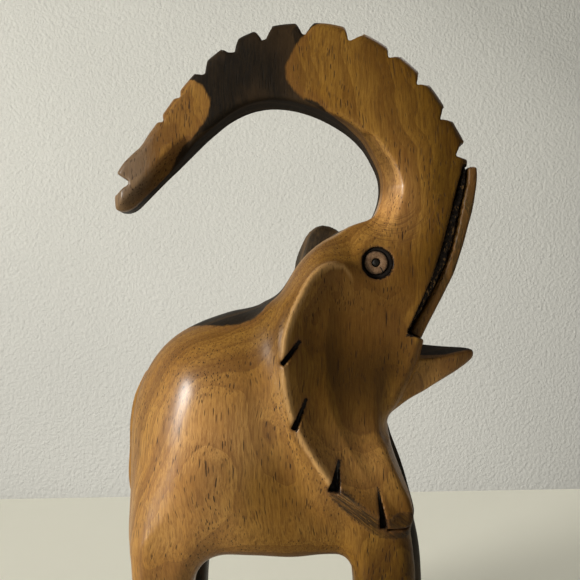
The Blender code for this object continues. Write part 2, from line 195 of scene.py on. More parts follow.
# Ears: x, z of the rim, and how far each point of it stands from the middle plane.
EAR_R = [(17.2, 150.6, 19.6), (13.6, 152.8, 22.2), (9.6, 152.8, 24.8), (6.0, 150.8, 26.6), (3.2, 147.4, 27.9), (0.6, 142.4, 28.9),
         (-1.9, 137.0, 29.4), (-3.9, 131.0, 30.2), (-4.8, 124.8, 30.8), (-4.8, 118.4, 31.0), (-4.2, 112.4, 31.0),
         (-3.0, 106.4, 30.9), (-1.2, 101.0, 30.7), (1.4, 96.0, 30.3), (4.8, 90.6, 29.8), (8.6, 85.0, 29.0), (12.2, 80.2, 28.2),
         (16.6, 77.0, 27.4), (21.6, 73.6, 26.4), (26.4, 70.4, 25.4), (31.0, 67.6, 24.4), (35.4, 67.0, 23.4), (38.1, 69.4, 22.4),
         (37.4, 74.6, 21.6), (34.6, 80.4, 20.6), (31.6, 86.4, 19.6), (28.6, 92.8, 17.8), (25.6, 101.0, 15.6),
         (23.6, 112.0, 14.4), (22.8, 126.0, 14.0), (21.4, 140.0, 15.0)]
EAR_L = [(22.0, 158.0, 17.0), (18.6, 165.4, 19.0), (14.2, 169.0, 21.0), (9.2, 169.8, 23.2), (5.0, 167.0, 25.2), (2.3, 162.0, 26.8),
         (0.2, 156.0, 28.0), (-0.9, 149.6, 29.0), (-2.7, 142.0, 29.8), (-3.9, 133.4, 30.3), (-4.2, 124.0, 30.5), (-3.6, 115.0, 30.5),
         (-2.2, 106.4, 30.3), (0.4, 98.0, 29.9), (4.2, 89.6, 29.2), (9.0, 81.6, 28.4), (14.6, 74.6, 27.4), (21.4, 68.6, 26.2),
         (29.2, 63.8, 24.8), (36.2, 60.8, 23.4), (40.9, 60.5, 22.2), (42.7, 63.2, 21.2), (40.8, 70.2, 20.4), (38.2, 78.4, 19.6),
         (34.8, 86.8, 18.6), (30.4, 96.8, 17.0), (28.4, 110.0, 15.0), (26.4, 126.0, 14.2), (24.8, 142.0, 15.0)]
# How far the ear's back spreads for each millimetre that it runs in from the rim.
EAR_DRAFT = [(12, 154, 0.40), (2, 146, 0.42), (-4, 132, 0.75), (-5, 118, 1.15), (-3, 104, 1.15), (4, 90, 1.0), (14, 76, 0.8),
             (30, 66, 0.35), (38, 72, 0.10), (30, 90, 0.10), (24, 112, 0.3), (20, 145, 0.5)]
EAR_DRAFT_L = [(10, 170, -0.50), (2, 159, -0.45), (-2, 146, -0.30), (-4, 134, 0.1), (-4, 124, 0.6), (-4, 114, 1.0), (4, 90, 1.0), (14, 76, 0.8),
               (30, 64, 0.35), (42, 62, 0.1), (34, 90, 0.1), (28, 112, 0.3), (24, 145, 0.1)]
NOTCHES = [[(-46.2, 202.6), (-48.9, 203.4), (-52.5, 207.5), (-47.2, 206.4)], [(-40.4, 211.2), (-42.6, 211.6), (-46.0, 216.0), (-40.9, 214.4)],
           [(-31.9, 219.2), (-34.4, 219.6), (-39.0, 222.6), (-31.6, 226.0), (-31.5, 222.8)],
           [(-23.6, 226.8), (-21.6, 226.8), (-20.4, 232.5), (-21.0, 236.0), (-29.0, 232.0), (-26.0, 228.6)],
           [(-12.0, 230.9), (-10.8, 231.0), (-8.9, 234.9), (-8.2, 240.0), (-17.5, 240.0), (-14.3, 234.4)],
           [(2.0, 232.6), (3.0, 232.7), (5.6, 236.6), (6.6, 242.0), (-1.6, 242.0), (0.1, 236.6)],
           [(18.0, 231.2), (19.4, 231.5), (23.0, 233.4), (26.0, 242.0), (16.0, 242.0), (17.3, 235.4)],
           [(31.8, 225.0), (33.0, 225.3), (36.0, 225.9), (42.0, 236.0), (32.6, 238.0), (31.9, 229.0)],
           [(41.9, 216.0), (43.0, 216.2), (45.8, 216.2), (54.0, 222.0), (45.0, 226.0), (42.6, 219.6)],
           [(50.1, 204.0), (51.4, 203.9), (53.9, 203.6), (62.0, 206.0), (58.0, 214.0), (51.2, 208.0)],
           [(55.4, 191.2), (56.6, 190.6), (58.8, 190.3), (66.0, 190.0), (66.0, 198.0), (57.3, 195.6)]]
NOTCHES = [[(-2.3 + (x + 2.3) * q, 144.4 + (z - 144.4) * q) for x, z in n] for n in NOTCHES
           for q in [0.980 if n[0][0] > 40 else 0.987 if n[0][0] > 15 else 1.001]]
TIP = [(-58.4, 181.2), (-58.6, 182.5), (-62.0, 184.5), (-70.0, 189.2), (-72.0, 178.2), (-63.4, 177.9)]
TUSK = [(42.6, 127.4), (48.2, 138.5), (53.9, 150.0), (57.8, 161.8), (60.6, 172.6), (62.0, 181.6), (61.8, 187.0)]
EYE = (27.0, 153.4, 5.3, 12.7)
NICKS_R = [((-4.2, 121.6), (0.9, 128.2), 1.5, 1.2, 4.0), ((-0.7, 101.0), (3.0, 109.6), 1.9, 0.8, 4.0),
           ((11.8, 80.6), (13.5, 89.6), 3.5, 0.6, 4.5), ((28.0, 67.8), (26.2, 80.4), 2.2, 0.3, 4.0)]
NICKS_L = [((-4.0, 124.5), (1.8, 131.6), 1.7, 1.3, 4.0), ((-1.4, 103.5), (3.0, 113.6), 1.9, 0.9, 4.0),
           ((12.4, 77.0), (14.8, 88.0), 3.2, 0.7, 4.5), ((32.6, 62.0), (31.0, 75.0), 2.0, 0.3, 4.0)]
TAIL = [(-53.4, 0.0, 113.0), (-57.0, 0.6, 106.0), (-58.9, 1.3, 97.0), (-59.2, 1.8, 87.0), (-59.1, 1.6, 78.0), (-58.9, 1.0, 70.0)]
LEGS = {  # front and back edges from the sole up: (z, x back, x front), and y inner, outer
    "fore_r": ([(-8, 17.4, 40.6), (0, 17.2, 40.8), (6, 17.2, 40.8), (11, 18.2, 39.8), (20, 19.2, 38.8), (32, 19.6, 38.8), (44, 19.2, 39.0),
                (54, 18.0, 38.9), (66, 15.6, 37.0), (80, 16.0, 33.6), (92, 18.0, 30.0)], 5.4, 24.4, -1),
    "fore_l": ([(-8, 26.6, 49.2), (0, 26.4, 49.4), (6, 26.4, 49.4), (11, 27.2, 48.6), (20, 27.6, 47.9), (32, 26.6, 47.6), (44, 25.0, 47.0),
                (54, 22.8, 45.5), (66, 20.0, 42.3), (80, 19.0, 37.0), (92, 19.0, 32.0)], 5.4, 24.4, 1),
    "hind_r": ([(-8, -54.8, -33.8), (0, -55.0, -33.6), (6, -55.0, -33.6), (11, -54.0, -34.6), (20, -53.4, -35.6), (32, -53.4, -35.6),
                (44, -53.8, -34.8), (54, -54.2, -33.0), (66, -53.0, -30.0), (80, -50.0, -30.0), (92, -46.0, -32.0)], 5.4, 25.6, -1),
    "hind_l": ([(-8, -54.2, -32.4), (0, -54.4, -32.2), (6, -54.4, -32.2), (11, -53.4, -33.2), (20, -52.8, -34.2), (32, -52.8, -34.2),
                (44, -53.2, -33.4), (54, -53.8, -32.0), (66, -53.0, -29.0), (80, -50.0, -29.0), (92, -46.0, -31.0)], 5.4, 25.6, 1),
}


def strip_w(u):
    """How thick the tusk strip is, from its lower end (0) to its top (1)."""
    return np.interp(u, [0, 0.02, 0.18, 0.36, 0.56, 0.68, 0.77, 0.875, 0.965, 1], [4.7, 4.6, 3.8, 3.7, 3.6, 4.0, 4.2, 4.0, 3.6, 3.5])


def seam_w(u):
    """How wide the black seam behind it is."""
    return np.interp(u, [0, 0.02, 0.18, 0.36, 0.56, 0.68, 0.77, 0.875, 0.965, 1], [0.7, 0.9, 2.2, 3.0, 3.2, 2.9, 2.3, 1.7, 1.3, 1.1])


def tusk_back(extra):
    """A line behind the tusk's front edge: strip thickness plus the given share of the seam."""
    c = rom(TUSK, 6, closed=False)
    t = np.gradient(c, axis=0)
    t /= np.linalg.norm(t, axis=1)[:, None]
    u = np.linspace(0, 1, len(c))
    w = strip_w(u) + extra(u)
    return c + np.stack([-t[:, 1], t[:, 0]], 1) * w[:, None], c


def axes():
    return (np.arange(X0, X1 + H / 2, H), np.arange(Y0, Y1 + H / 2, H), np.arange(Z0, Z1 + H / 2, H))


def field():
    xs, ys, zs = axes()
    PX, PZ = np.meshgrid(xs, zs, indexing="ij")
    def up(m):
        return m[:, None, :].astype(np.float32)
    Y = ys[None, :, None].astype(np.float32)
    AY = np.abs(Y)
    # ---- torso
    d = inside_out(PX, PZ, rom(TORSO, 5))
    t = sheet_through(TORSO_T)(PX, PZ)
    r = sheet_through([(-50, 90, 27), (-30, 90, 30), (-10, 90, 30), (-20, 130, 26), (-12, 58, 17), (-36, 58, 15), (-55, 60, 25), (-55, 76, 26), (5, 150, 13), (20, 160, 11),
                       (24, 60, 10), (34, 80, 12), (30, 120, 12)])(PX, PZ)
    r = np.clip(r, 8, 31)
    ry = np.clip(np.minimum(t * 0.86, r * 0.95 + 2), 6, 28)
    f = slab(up(d), AY, up(t), up(r), up(ry))
    profile = d
    # ---- head and trunk
    d = inside_out(PX, PZ, rom(TRUNK, 5))
    profile = np.minimum(profile, d)
    t = sheet_through(TRUNK_T)(PX, PZ)
    yc = sheet_through(TRUNK_Y)(PX, PZ)
    # the outer edge is rounder than the inner one
    arch = np.hypot(PX + 2.0, PZ - 186.0)
    outer = np.clip((arch - 34.0) / 8.0, 0, 1)
    head = np.clip((204.0 - PZ) / 34.0, 0, 1) * np.clip((PX - 4) / 18.0, 0, 1)
    tipw = np.clip((-26.0 - PX) / 16.0, 0, 1)
    r = 2.0 + 1.9 * outer * (1 - 0.2 * tipw) + 1.6 * head * (1 - outer) + 0.6 * tipw * (1 - outer)
    r = r - 1.7 * np.clip((-55.0 - PX) / 5.0, 0, 1)
    ry = np.clip(r * (0.95 + 0.2 * outer), 1.6, 0.84 * t)
    inn = (1 - outer) * (1 - tipw) + tipw * np.clip(((PX + 63.0) * 0.93 + 4.0 - (PZ - 173.0)) / 6.0, 0, 1)
    # the arch's underside slopes: its right edge hangs lower than its left
    hang = inn * np.interp(PX, [-64, -50, -30, -12, 12, 26, 32], [0.2, 0.6, 1.6, 2.5, 2.3, 0.9, 0.2]) * np.clip((PZ - 166.0) / 14.0, 0, 1)
    ft = slab(up(d - 0.95 * outer * np.clip((PX + 62) / 26.0, 0, 1)) - up(hang) * 0.5 * (1 + np.clip((up(yc) - Y) / up(t), -1, 1)),
              np.abs(Y - up(yc)), up(t), up(r), up(ry))
    # broad flat chamfers: down the inside of the arch over the brow, and under the tip
    brow = np.clip((206.0 - PZ) / 26.0, 0, 1) * np.clip((PX - 2.0) / 14.0, 0, 1) * np.clip((47.0 - arch) / 3.0, 0, 1)
    wd = 6.2 * brow + 3.2 * tipw
    wy = 5.6 * brow + 3.4 * tipw
    wd, wy = np.maximum(wd, 0.3), np.maximum(wy, 0.3)
    under = np.clip((np.hypot(PX + 2.0, PZ - 176.0) - 30.0) / 10.0, 0, 1) * tipw
    s = wd * wy / np.hypot(wd, wy)
    across = np.where(up(tipw) > 0, up(yc) - Y, np.abs(Y - up(yc)))
    ch = up((d / wd + 1) * s) + (across - up(t)) * up(s / wy)
    lower = (PZ - 173.0) < (PX + 63.0) * 0.93 + 7.5
    on = np.where(tipw > 0, lower, True)
    ft = smax(ft, ch - up(np.where(on, 0.0, 30.0)) - up(6.0 * (1 - np.clip(np.maximum(brow * 3.0, tipw * 1.3), 0, 1))), 0.5)
    throat = np.clip(1 - np.hypot(PX - 34, PZ - 100) / 26.0, 0, 1)
    f = smin(f, ft, up(9.0 - 7.0 * throat))
    # the brow's broad bevel runs on over the neck towards the ear
    on = brow * np.clip((180.0 - PZ) / 6.0, 0, 1)
    s = 6.4 * 6.0 / np.hypot(6.4, 6.0)
    ch = up((profile / 6.4 + 1) * s) + (AY - up(np.interp(PX, [2, 8, 13, 18, 30], [34.0, 24.0, 18.6, 16.0, 14.4]))) * np.float32(s / 6.0)
    f = smax(f, ch - up(8.0 * (1 - np.clip(on * 2.0, 0, 1))), 0.4)
    # ---- lower jaw: floor of the mouth tilts down to the right side
    d = inside_out(PX, PZ, rom(JAW, 5))
    hw = np.interp(PX, [26, 36, 44, 50, 56, 60, 62.5, 64], [10.5, 10.8, 10.4, 9.2, 7.2, 5.0, 3.2, 1.6])
    keel = np.clip((124.0 - PZ) / 20.0, 0, 1)
    fj = slab(up(d), AY, up(hw * (1 - 0.38 * keel)), up(0 * d + 1.6), up(0 * d + 1.6))
    floor = up(np.interp(PX, [40, 50, 60], [122.6, 122.7, 123.4])) + up(np.interp(PX, [40, 50, 62], [0.24, 0.17, 0.03])) * Y
    fj = smax(fj, up(PZ) - floor, 0.6)
    f = smin(f, fj, 2.6)
    # ---- legs
    for key, (rows, yi, yo, side) in LEGS.items():
        xb, xf = along(PZ, rows, 1), along(PZ, rows, 2)
        dx = np.maximum(xb - PX, PX - xf)
        dx = np.where(PZ > 88, np.maximum(dx, PZ - 92), dx)
        grow = along(PZ, [(-12, 0.7), (0, 0.75), (5, 0.7), (10, 0.3), (16, -0.1), (24, -0.35), (34, -0.1), (44, 0), (100, 0)])
        hind = key.startswith("hind")
        yo_z = yo + along(PZ, [(-12, 0), (0, 0), (20, 0), (40, 0), (54, 0.4 if hind else -0.4), (66, 0.2 if hind else -2.2), (80, -3 if hind else -6),
                               (92, -8), (110, -12)])
        cy, hy = side * (yi + yo_z) / 2, (yo_z - yi) / 2
        fl = slab(up(dx), np.abs(Y - up(cy)) - up(grow), up(hy), up(0 * dx + 6.5), up(0 * dx + 6.5))
        f = smin(f, fl, 10.0 if hind else 5.0)
    # ---- ears
    for side, rim, slopes in ((-1, EAR_R, EAR_DRAFT), (1, EAR_L, EAR_DRAFT_L)):
        draft = np.clip(sheet_through(slopes)(PX, PZ), -0.5, 1.3)
        run = np.interp(draft, [0.42, 0.75], [24.0, 11.0])
        rim = rom(rim, 5)
        d = inside_out(PX, PZ, rim[:, :2])
        sel = rim[::6]
        yo = sheet_through([tuple(q) for q in sel])(PX, PZ)
        cen = np.exp(-((-d - 7.5) / 5.0) ** 2) * (d < 2)
        yo = np.clip(yo, 12, 31.4) - 1.9 * cen
        V = Y * side
        kmap = np.interp(PZ, [60, 76, 100, 130, 150], [3.5, 5.5, 6.5, 7.0, 7.0])
        back = up(yo) - V
        a = up(d) - up(draft) * np.clip(back - 1.4, 0, up(run))
        b = V - up(yo)
        fe = smax(smax(a * 0.86, b, 1.7), 6.0 - V + a * 0, 0.5)
        edge = up(profile - 0.3 - 12.0 * np.clip((125.0 - PZ) / 10.0, 0, 1))
        if side > 0:  # the far flap alone stands above the neck
            edge = edge - 16.0 * np.clip((V - 15.5) / 7.0, 0, 1)
        fe = smax(fe, edge, 3.0)
        f = smin(f, fe, up(kmap))
    # ---- tail, a low ridge down the rump with a fuller end
    pts = rom(TAIL, 4, closed=False)
    ft = None
    i1 = int((-46 - X0) / H)
    k0, k1 = int((62 - Z0) / H), int((118 - Z0) / H)
    gx, gy, gz = xs[:i1, None, None], ys[None, :, None], zs[None, None, k0:k1]
    for n, (a, b) in enumerate(zip(pts[:-1], pts[1:])):
        e = b - a
        t = np.clip(((gx - a[0]) * e[0] + (gy - a[1]) * e[1] + (gz - a[2]) * e[2]) / (e @ e), 0, 1)
        rad = along(a[2] + t * e[2], [(66, 0.6), (70, 1.2), (74, 2.6), (79, 3.0), (84, 2.4), (90, 2.0), (102, 2.2), (113, 2.6), (118, 2.6)])
        dd = np.sqrt((gx - a[0] - t * e[0] - rad * 0.45) ** 2 + (gy - a[1] - t * e[1]) ** 2 + (gz - a[2] - t * e[2]) ** 2) - rad
        ft = dd if ft is None else np.minimum(ft, dd)
    f[:i1, :, k0:k1] = smin(f[:i1, :, k0:k1], ft.astype(np.float32), 1.6)
    # the unevenness a knife leaves
    wob = up(np.sin(PX / 5.3 + 1.0) * np.sin(PZ / 7.9 + 0.6)) * np.sin(Y / 6.1 + 0.4) + up(np.sin(PX / 9.7 - PZ / 13.0)) * np.sin(Y / 11.0 + 1.2)
    f = f + (0.16 * wob).astype(np.float32)
    return xs, ys, zs, PX, PZ, up, Y, AY, f


def cut(xs, ys, zs, PX, PZ, up, Y, AY, f):
    """Saw cuts, nicks, seats and beds."""
    for n in NOTCHES:
        f = smax(f, -up(inside_out(PX, PZ, n)), 0.5)
    f = smax(f, -up(inside_out(PX, PZ, TIP)), 0.8)
    # beds of the tusks
    back, front = tusk_back(lambda u: 0.6 + seam_w(u))
    lo, hi = back[0] + (back[0] - back[1]) * 0.1, back[-1] + (back[-1] - back[-2]) * 0.25
    flo, fhi = front[0] + (front[0] - front[1]) * 0.1 + (9, -3), front[-1] + (front[-1] - front[-2]) * 0.25 + (12, 0)
    poly = np.vstack([[lo], back, [hi], [fhi], front[::-1] + (10, -3), [flo]])
    bed = smax(up(inside_out(PX, PZ, poly)), 3.3 - AY, 0.3)
    f = smax(f, -bed, 0.4)
    # eye seats
    ex, ez, er, ey = EYE
    e = smax(up(np.hypot(PX - ex, PZ - ez) - er), ey - AY, 0.3)
    f = smax(f, -e, 0.4)
    # nicks in the ears' rims: deep at the rim, running out at the tip
    for side, rim, nicks in ((-1, EAR_R, NICKS_R), (1, EAR_L, NICKS_L)):
        yo = np.clip(sheet_through(rom(rim, 5)[::6])(PX, PZ), 12, 31.4)
        for (ax, az), (bx, bz), wa, wb, depth in nicks:
            L = np.hypot(bx - ax, bz - az)
            u = ((PX - ax) * (bx - ax) + (PZ - az) * (bz - az)) / L ** 2
            v = np.abs((PX - ax) * (bz - az) - (PZ - az) * (bx - ax)) / L
            w = wa + (wb - wa) * np.clip(u, 0, 1)
            d2 = np.maximum(v - w / 2, np.maximum(-u * L - 0.9, (u - 1) * L))
            dep = depth * np.clip(1.25 - u, 0.15, 1)
            n = smax(up(d2), up(yo - dep) - Y * side, 0.5)
            f = smax(f, -n, 0.5)
    # the saw line under the right ear, with the hollow left above it
    g = np.maximum(np.abs(PZ - 66.6 - 0.03 * (PX - 33)) - 0.40, np.abs(PX - 33.6) - 4.4)
    f = smax(f, -smax(up(g), Y + 19.5, 0.4), 0.6)
    # toe cuts
    for key, (rows, yi, yo, side) in LEGS.items():
        xf = rows[2][2]
        for q in (0.2, 0.5, 0.8):
            yc = side * (yi + (yo - yi) * q)
            bend = 2.6 * (2 * q - 1) ** 2
            n = np.hypot((up(PX) - (xf + 0.3 - bend)) * 0.8, Y - yc) - 0.85
            n = smax(n, up(PZ) - 8.0, 1.0)
            f = smax(f, -n, 0.8)
    # flat soles
    f = smax(f, -up(PZ), 0.8)
    return f


def nets(f, xs, ys, zs):
    """Closed quad mesh on the zero level of f."""
    s = f < 0
    nx, ny, nz = f.shape
    corners = [(i, j, k) for i in (0, 1) for j in (0, 1) for k in (0, 1)]
    cnt = sum(s[i:nx - 1 + i, j:ny - 1 + j, k:nz - 1 + k].astype(np.int8) for i, j, k in corners)
    act = (cnt > 0) & (cnt < 8)
    idx = np.full(act.shape, -1, np.int64)
    ci, cj, ck = np.nonzero(act)
    idx[ci, cj, ck] = np.arange(len(ci))
    acc = np.zeros((len(ci), 3))
    num = np.zeros(len(ci))
    for ax in range(3):
        for u in (0, 1):
            for v in (0, 1):
                o = [0, 0, 0]
                others = [a for a in range(3) if a != ax]
                o[others[0]], o[others[1]] = u, v
                a = f[ci + o[0], cj + o[1], ck + o[2]]
                o2 = list(o)
                o2[ax] = 1
                b = f[ci + o2[0], cj + o2[1], ck + o2[2]]
                m = (a < 0) != (b < 0)
                t = np.where(m, a / (a - b + 1e-20), 0)
                p = np.zeros((len(ci), 3))
                p[:, 0], p[:, 1], p[:, 2] = o[0], o[1], o[2]
                p[:, ax] = t
                acc += p * m[:, None]
                num += m
    v = acc / num[:, None] + np.stack([ci, cj, ck], 1)
    V = np.stack([xs[0] + v[:, 0] * H, ys[0] + v[:, 1] * H, zs[0] + v[:, 2] * H], 1)
    quads = []
    for ax in range(3):
        sl0 = [slice(1, -1)] * 3
        sl1 = [slice(1, -1)] * 3
        sl0[ax], sl1[ax] = slice(0, -1), slice(1, None)
        a, b = s[tuple(sl0)], s[tuple(sl1)]
        for flip, m in ((False, a & ~b), (True, ~a & b)):
            i, j, k = np.nonzero(m)
            g = [i, j, k]
            base = [g[q] + (0 if q == ax else 1) for q in range(3)]
            o1, o2 = [q for q in range(3) if q != ax]
            def cell(d1, d2):
                c = [base[0].copy(), base[1].copy(), base[2].copy()]
                c[o1] = c[o1] - d1
                c[o2] = c[o2] - d2
                return idx[c[0], c[1], c[2]]
            q = np.stack([cell(1, 1), cell(0, 1), cell(0, 0), cell(1, 0)], 1)
            if (ax == 1) != flip:
                q = q[:, ::-1]
            quads.append(q)
    return V, np.vstack(quads)


def relax(V, Q, rounds=2, lam=0.5, mu=-0.52):
    """Taubin smoothing: takes the grid's steps out and keeps the volume."""
    e = np.vstack([Q[:, [0, 1]], Q[:, [1, 2]], Q[:, [2, 3]], Q[:, [3, 0]]])
    for _ in range(rounds):
        for w in (lam, mu):
            s = np.zeros_like(V)
            n = np.bincount(e[:, 0], minlength=len(V)) + np.bincount(e[:, 1], minlength=len(V))
            for c in range(3):
                s[:, c] = np.bincount(e[:, 0], V[e[:, 1], c], len(V)) + np.bincount(e[:, 1], V[e[:, 0], c], len(V))
            V = V + w * (s / n[:, None] - V)
    return V

# ===================================================================== fields
# Smooth fields over the body's points, in millimetres. The materials threshold
# them, so their edges stay crisp at any mesh density.
def heart_depth(V):
    """How far a point lies inside the dark heartwood (positive) or in the sapwood."""
    x, y, z = V[:, 0], V[:, 1], V[:, 2]
    zone = [(-38.0, 226.0), (-36.8, 222.0), (-34.8, 218.8), (-31.0, 214.8), (-29.1, 209.8), (-29.6, 204.5), (-32.2, 200.0), (-35.6, 195.6), (-39.0, 190.6), (-30.0, 192.0),
            (-12.0, 205.5), (2.0, 206.5), (9.0, 204.0), (9.0, 207.0), (2.6, 211.0), (-2.0, 215.6), (-3.8, 220.6), (-2.6, 224.8), (0.6, 231.6),
            (6.4, 237.4), (7.0, 246.0), (-40.0, 246.0)]
    zone = inside_out(x, z, rom(zone, 4))
    face = -10.9 + 1.5 * np.minimum(zone, 0) * 0.5 + 13.5 * (1 - np.exp(-np.maximum(zone, 0) / 9.0))
    low = sheet_through([(-60, 70, 5), (-57, 105, 3), (-48, 122, 0), (-40, 130, -4), (-30, 134, -13), (-20, 137, -18.5), (-12, 139, -18), (-6, 143, -13),
                         (2, 154, -4.5), (12, 164, -2), (28, 169, 0), (-30, 60, 1), (-30, 90, 2), (0, 55, 0), (0, 90, 0), (30, 60, -3), (38, 75, -5.5),
                         (33, 100, -3), (30, 130, -1), (46, 125.5, -8.6), (56, 124.5, -6.8), (62, 123, -3.2), (47, 117, -3.0), (54, 116, -1.5), (45, 150, 0.5), (58, 187, 1), (32, 185, 0), (-50, 20, 0),
                         (40, 20, 0)])(x, z)
    w = np.clip((z - 176.0) / 26.0, 0, 1)
    w = w * w * (3 - 2 * w)
    return y - (face * w + low * (1 - w))


def nick_depth(V):
    """Signed distance to the burnt nicks in the ears' rims, the eye seats, and the rough saw line; they are painted
    black, partly for scorch, partly as painted shade in their depths.
    """
    x, y, z = V.T
    out = np.full(len(V), 9.0)
    for side, rim, nicks in ((-1, EAR_R, NICKS_R), (1, EAR_L, NICKS_L)):
        yo = np.clip(sheet_through(rom(rim, 5)[::6])(x, z), 12, 31.4)
        v2 = y * side
        for (ax, az), (bx, bz), wa, wb, depth in nicks:
            L = np.hypot(bx - ax, bz - az)
            u = ((x - ax) * (bx - ax) + (z - az) * (bz - az)) / L ** 2
            v = np.abs((x - ax) * (bz - az) - (z - az) * (bx - ax)) / L
            w = wa + (wb - wa) * np.clip(u, 0, 1)
            d2 = np.maximum(v - w / 2, np.maximum(-u * L - 0.9, (u - 1) * L))
            dep = depth * np.clip(1.25 - u, 0.15, 1)
            out = np.minimum(out, np.maximum(d2, yo - dep - 0.8 - v2))
    ex, ez, er, ey = EYE
    out = np.minimum(out, np.maximum(np.hypot(x - ex, z - ez) - er - 0.15, ey - 1 - np.abs(y)))
    g = np.maximum(np.abs(z - 66.6 - 0.03 * (x - 33)) - 0.10, np.abs(x - 33.6) - 4.6)
    out = np.minimum(out, np.maximum(g, y + 19.5))
    return out


def rasp_depth(V):
    """The rough, rasped patch that runs under the right ear's lower edge."""
    x, y, z = V.T
    poly = [(10.6, 79.6), (13.0, 76.0), (18.0, 71.0), (24.0, 66.6), (29.0, 64.4), (38.6, 64.6), (39.4, 67.0), (38.0, 70.8), (33.0, 71.6),
            (29.4, 69.6), (25.6, 70.8), (19.4, 76.2), (14.4, 80.4)]
    return np.maximum(inside_out(x, z, rom(poly, 4)), (y + 18.0) * 0.5)


def notch_depth(V):
    # Signed distance to the trunk's notches and tip cut; inside them the wood is painted dark, partly scorch, partly
    # painted shade.
    x, y, z = V.T
    out = np.full(len(V), 9.0)
    for n in NOTCHES + [TIP]:
        out = np.minimum(out, inside_out(x, z, n))
    return out


def bed_depth(V):
    """Signed distance to the scorched beds that the tusks lie in."""
    x, y, z = V.T
    back, front = tusk_back(lambda u: 0.6 + seam_w(u))
    lo, hi = back[0] + (back[0] - back[1]) * 1.2, back[-1] + (back[-1] - back[-2]) * 1.2
    poly = np.vstack([[lo], back, [hi], front[::-1] + (6, -1)])
    return np.maximum(np.maximum(inside_out(x, z, poly), 2.6 - np.abs(y)), (128.6 - z) * 0.8)


def rim_wear_and_highlight_depth(V):
    """Distance from the crest of the ears, painted paler: partly worn wood, partly a painted highlight along the lit
    edge.
    """
    x, y, z = V.T
    out = np.full(len(V), 9.0)
    for side, rim in ((-1, EAR_R), (1, EAR_L)):
        rim = rom(rim, 5)
        d = inside_out(x, z, rim[:, :2])
        yo = sheet_through(rim[::6])(x, z)
        q = np.hypot(d + 0.5, np.maximum(np.abs(y * side - yo) - 1.2, 0)) + np.clip((x - 10) / 6, 0, 9)
        out = np.minimum(out, q)
    return out


def matte_and_shade_depth(V):
    """The arch's underside and the floor of the mouth: left unpolished, and painted darker as shade."""
    x, y, z = V.T
    d = inside_out(x, z, rom(TRUNK, 5))
    t, yc = sheet_through(TRUNK_T)(x, z), sheet_through(TRUNK_Y)(x, z)
    outer = np.clip((np.hypot(x + 2.0, z - 186.0) - 34.0) / 8.0, 0, 1)
    tipw = np.clip((-26.0 - x) / 16.0, 0, 1)
    inn = (1 - outer) * (1 - tipw) + tipw * np.clip(((x + 63.0) * 0.93 + 4.0 - (z - 173.0)) / 6.0, 0, 1)
    arch = np.clip((t - 0.5 - np.abs(y - yc)) / 1.2, 0, 1) * np.clip((d + 4.5) / 1.5, 0, 1) * inn * np.clip((z - 172.0) / 8.0, 0, 1)
    mouth = np.clip((x - 38.0) / 3.0, 0, 1) * np.clip((z - 119.0) / 1.5, 0, 1) * np.clip((128.5 - z) / 1.5, 0, 1) * np.clip((12.0 - np.abs(y)) / 1.5, 0, 1)
    floor = np.interp(x, [40, 50, 60], [122.6, 122.7, 123.4]) + np.interp(x, [40, 50, 62], [0.24, 0.17, 0.03]) * y
    mouth = mouth * np.clip((z - floor + 1.0) / 0.8, 0, 1)
    return np.maximum(arch, mouth)


def tone_and_painted_shade(V):
    """Where the wood is paler or browner, read in side view: partly the wood's own colour, partly painted light and
    shade on faces turned to or from the lamp.
    """
    x, y, z = V.T
    t = sheet_through(TONE_AND_PAINTED_SHADE)(x, z)
    near = np.clip((6.0 - y) / 14.0, 0, 1)
    return np.clip(t * near + 0.75 * (1 - near), 0.22, 1.25)


# Paleness per place: the wood's own colour mixed with painted shade on faces turned from the lamp (ear, trunk, foreleg)
# and painted light on the lit flank.
TONE_AND_PAINTED_SHADE = [(-24, 98, 1.20), (-50, 100, 0.76), (-55, 80, 0.72), (-35, 72, 1.08), (-13, 82, 0.62), (-36, 124, 0.68), (10, 65, 0.62), (-10, 127, 0.50), (-5, 118, 0.66),
        (0, 145, 0.60), (8, 135, 0.50), (7, 119, 0.29), (14, 104, 0.52), (19, 90, 0.90), (30, 130, 0.62), (33, 116, 0.36), (44, 112, 0.80), (52, 118, 0.74),
        (32, 171, 1.08), (31, 181, 1.15), (27, 189, 0.78), (24, 166, 0.72), (29, 158, 0.64), (40, 160, 0.54), (46, 155, 0.27), (48, 195, 0.28), (45, 180, 0.37),
        (37, 216, 0.37), (16, 226, 0.49), (7, 224, 0.50), (-38, 212, 0.66), (-46, 200, 0.64), (-60, 182, 0.70), (33, 47, 0.18), (-49, 47, 0.80), (-45, 10, 0.80),
        (34, 10, 0.30), (40, 75, 0.50), (0, 53, 0.50)]


# ====================================================================== meshes
def new_mesh(name, V, F, smooth=True):
    me = bpy.data.meshes.new(name)
    V = np.asarray(V, np.float64)
    me.vertices.add(len(V))
    me.vertices.foreach_set("co", V.astype(np.float32).ravel())
    sizes = np.array([len(f) for f in F]) if not isinstance(F, np.ndarray) else np.full(len(F), F.shape[1])
    loops = np.concatenate([np.asarray(f) for f in F]) if not isinstance(F, np.ndarray) else F.ravel()
    me.loops.add(len(loops))
    me.loops.foreach_set("vertex_index", loops.astype(np.int32))
    me.polygons.add(len(sizes))
    starts = np.concatenate([[0], np.cumsum(sizes)[:-1]])
    me.polygons.foreach_set("loop_start", starts.astype(np.int32))
    me.update(calc_edges=True)
    me.validate()
    if smooth:
        me.polygons.foreach_set("use_smooth", np.ones(len(me.polygons), bool))
    return me


def new_object(name, me, material):
    o = bpy.data.objects.new(name, me)
    scene.collection.objects.link(o)
    me.materials.clear()
    me.materials.append(material)
    return o


def points_of(me):
    c = np.empty(len(me.vertices) * 3, np.float32)
    me.vertices.foreach_get("co", c)
    return c.reshape(-1, 3).astype(float)


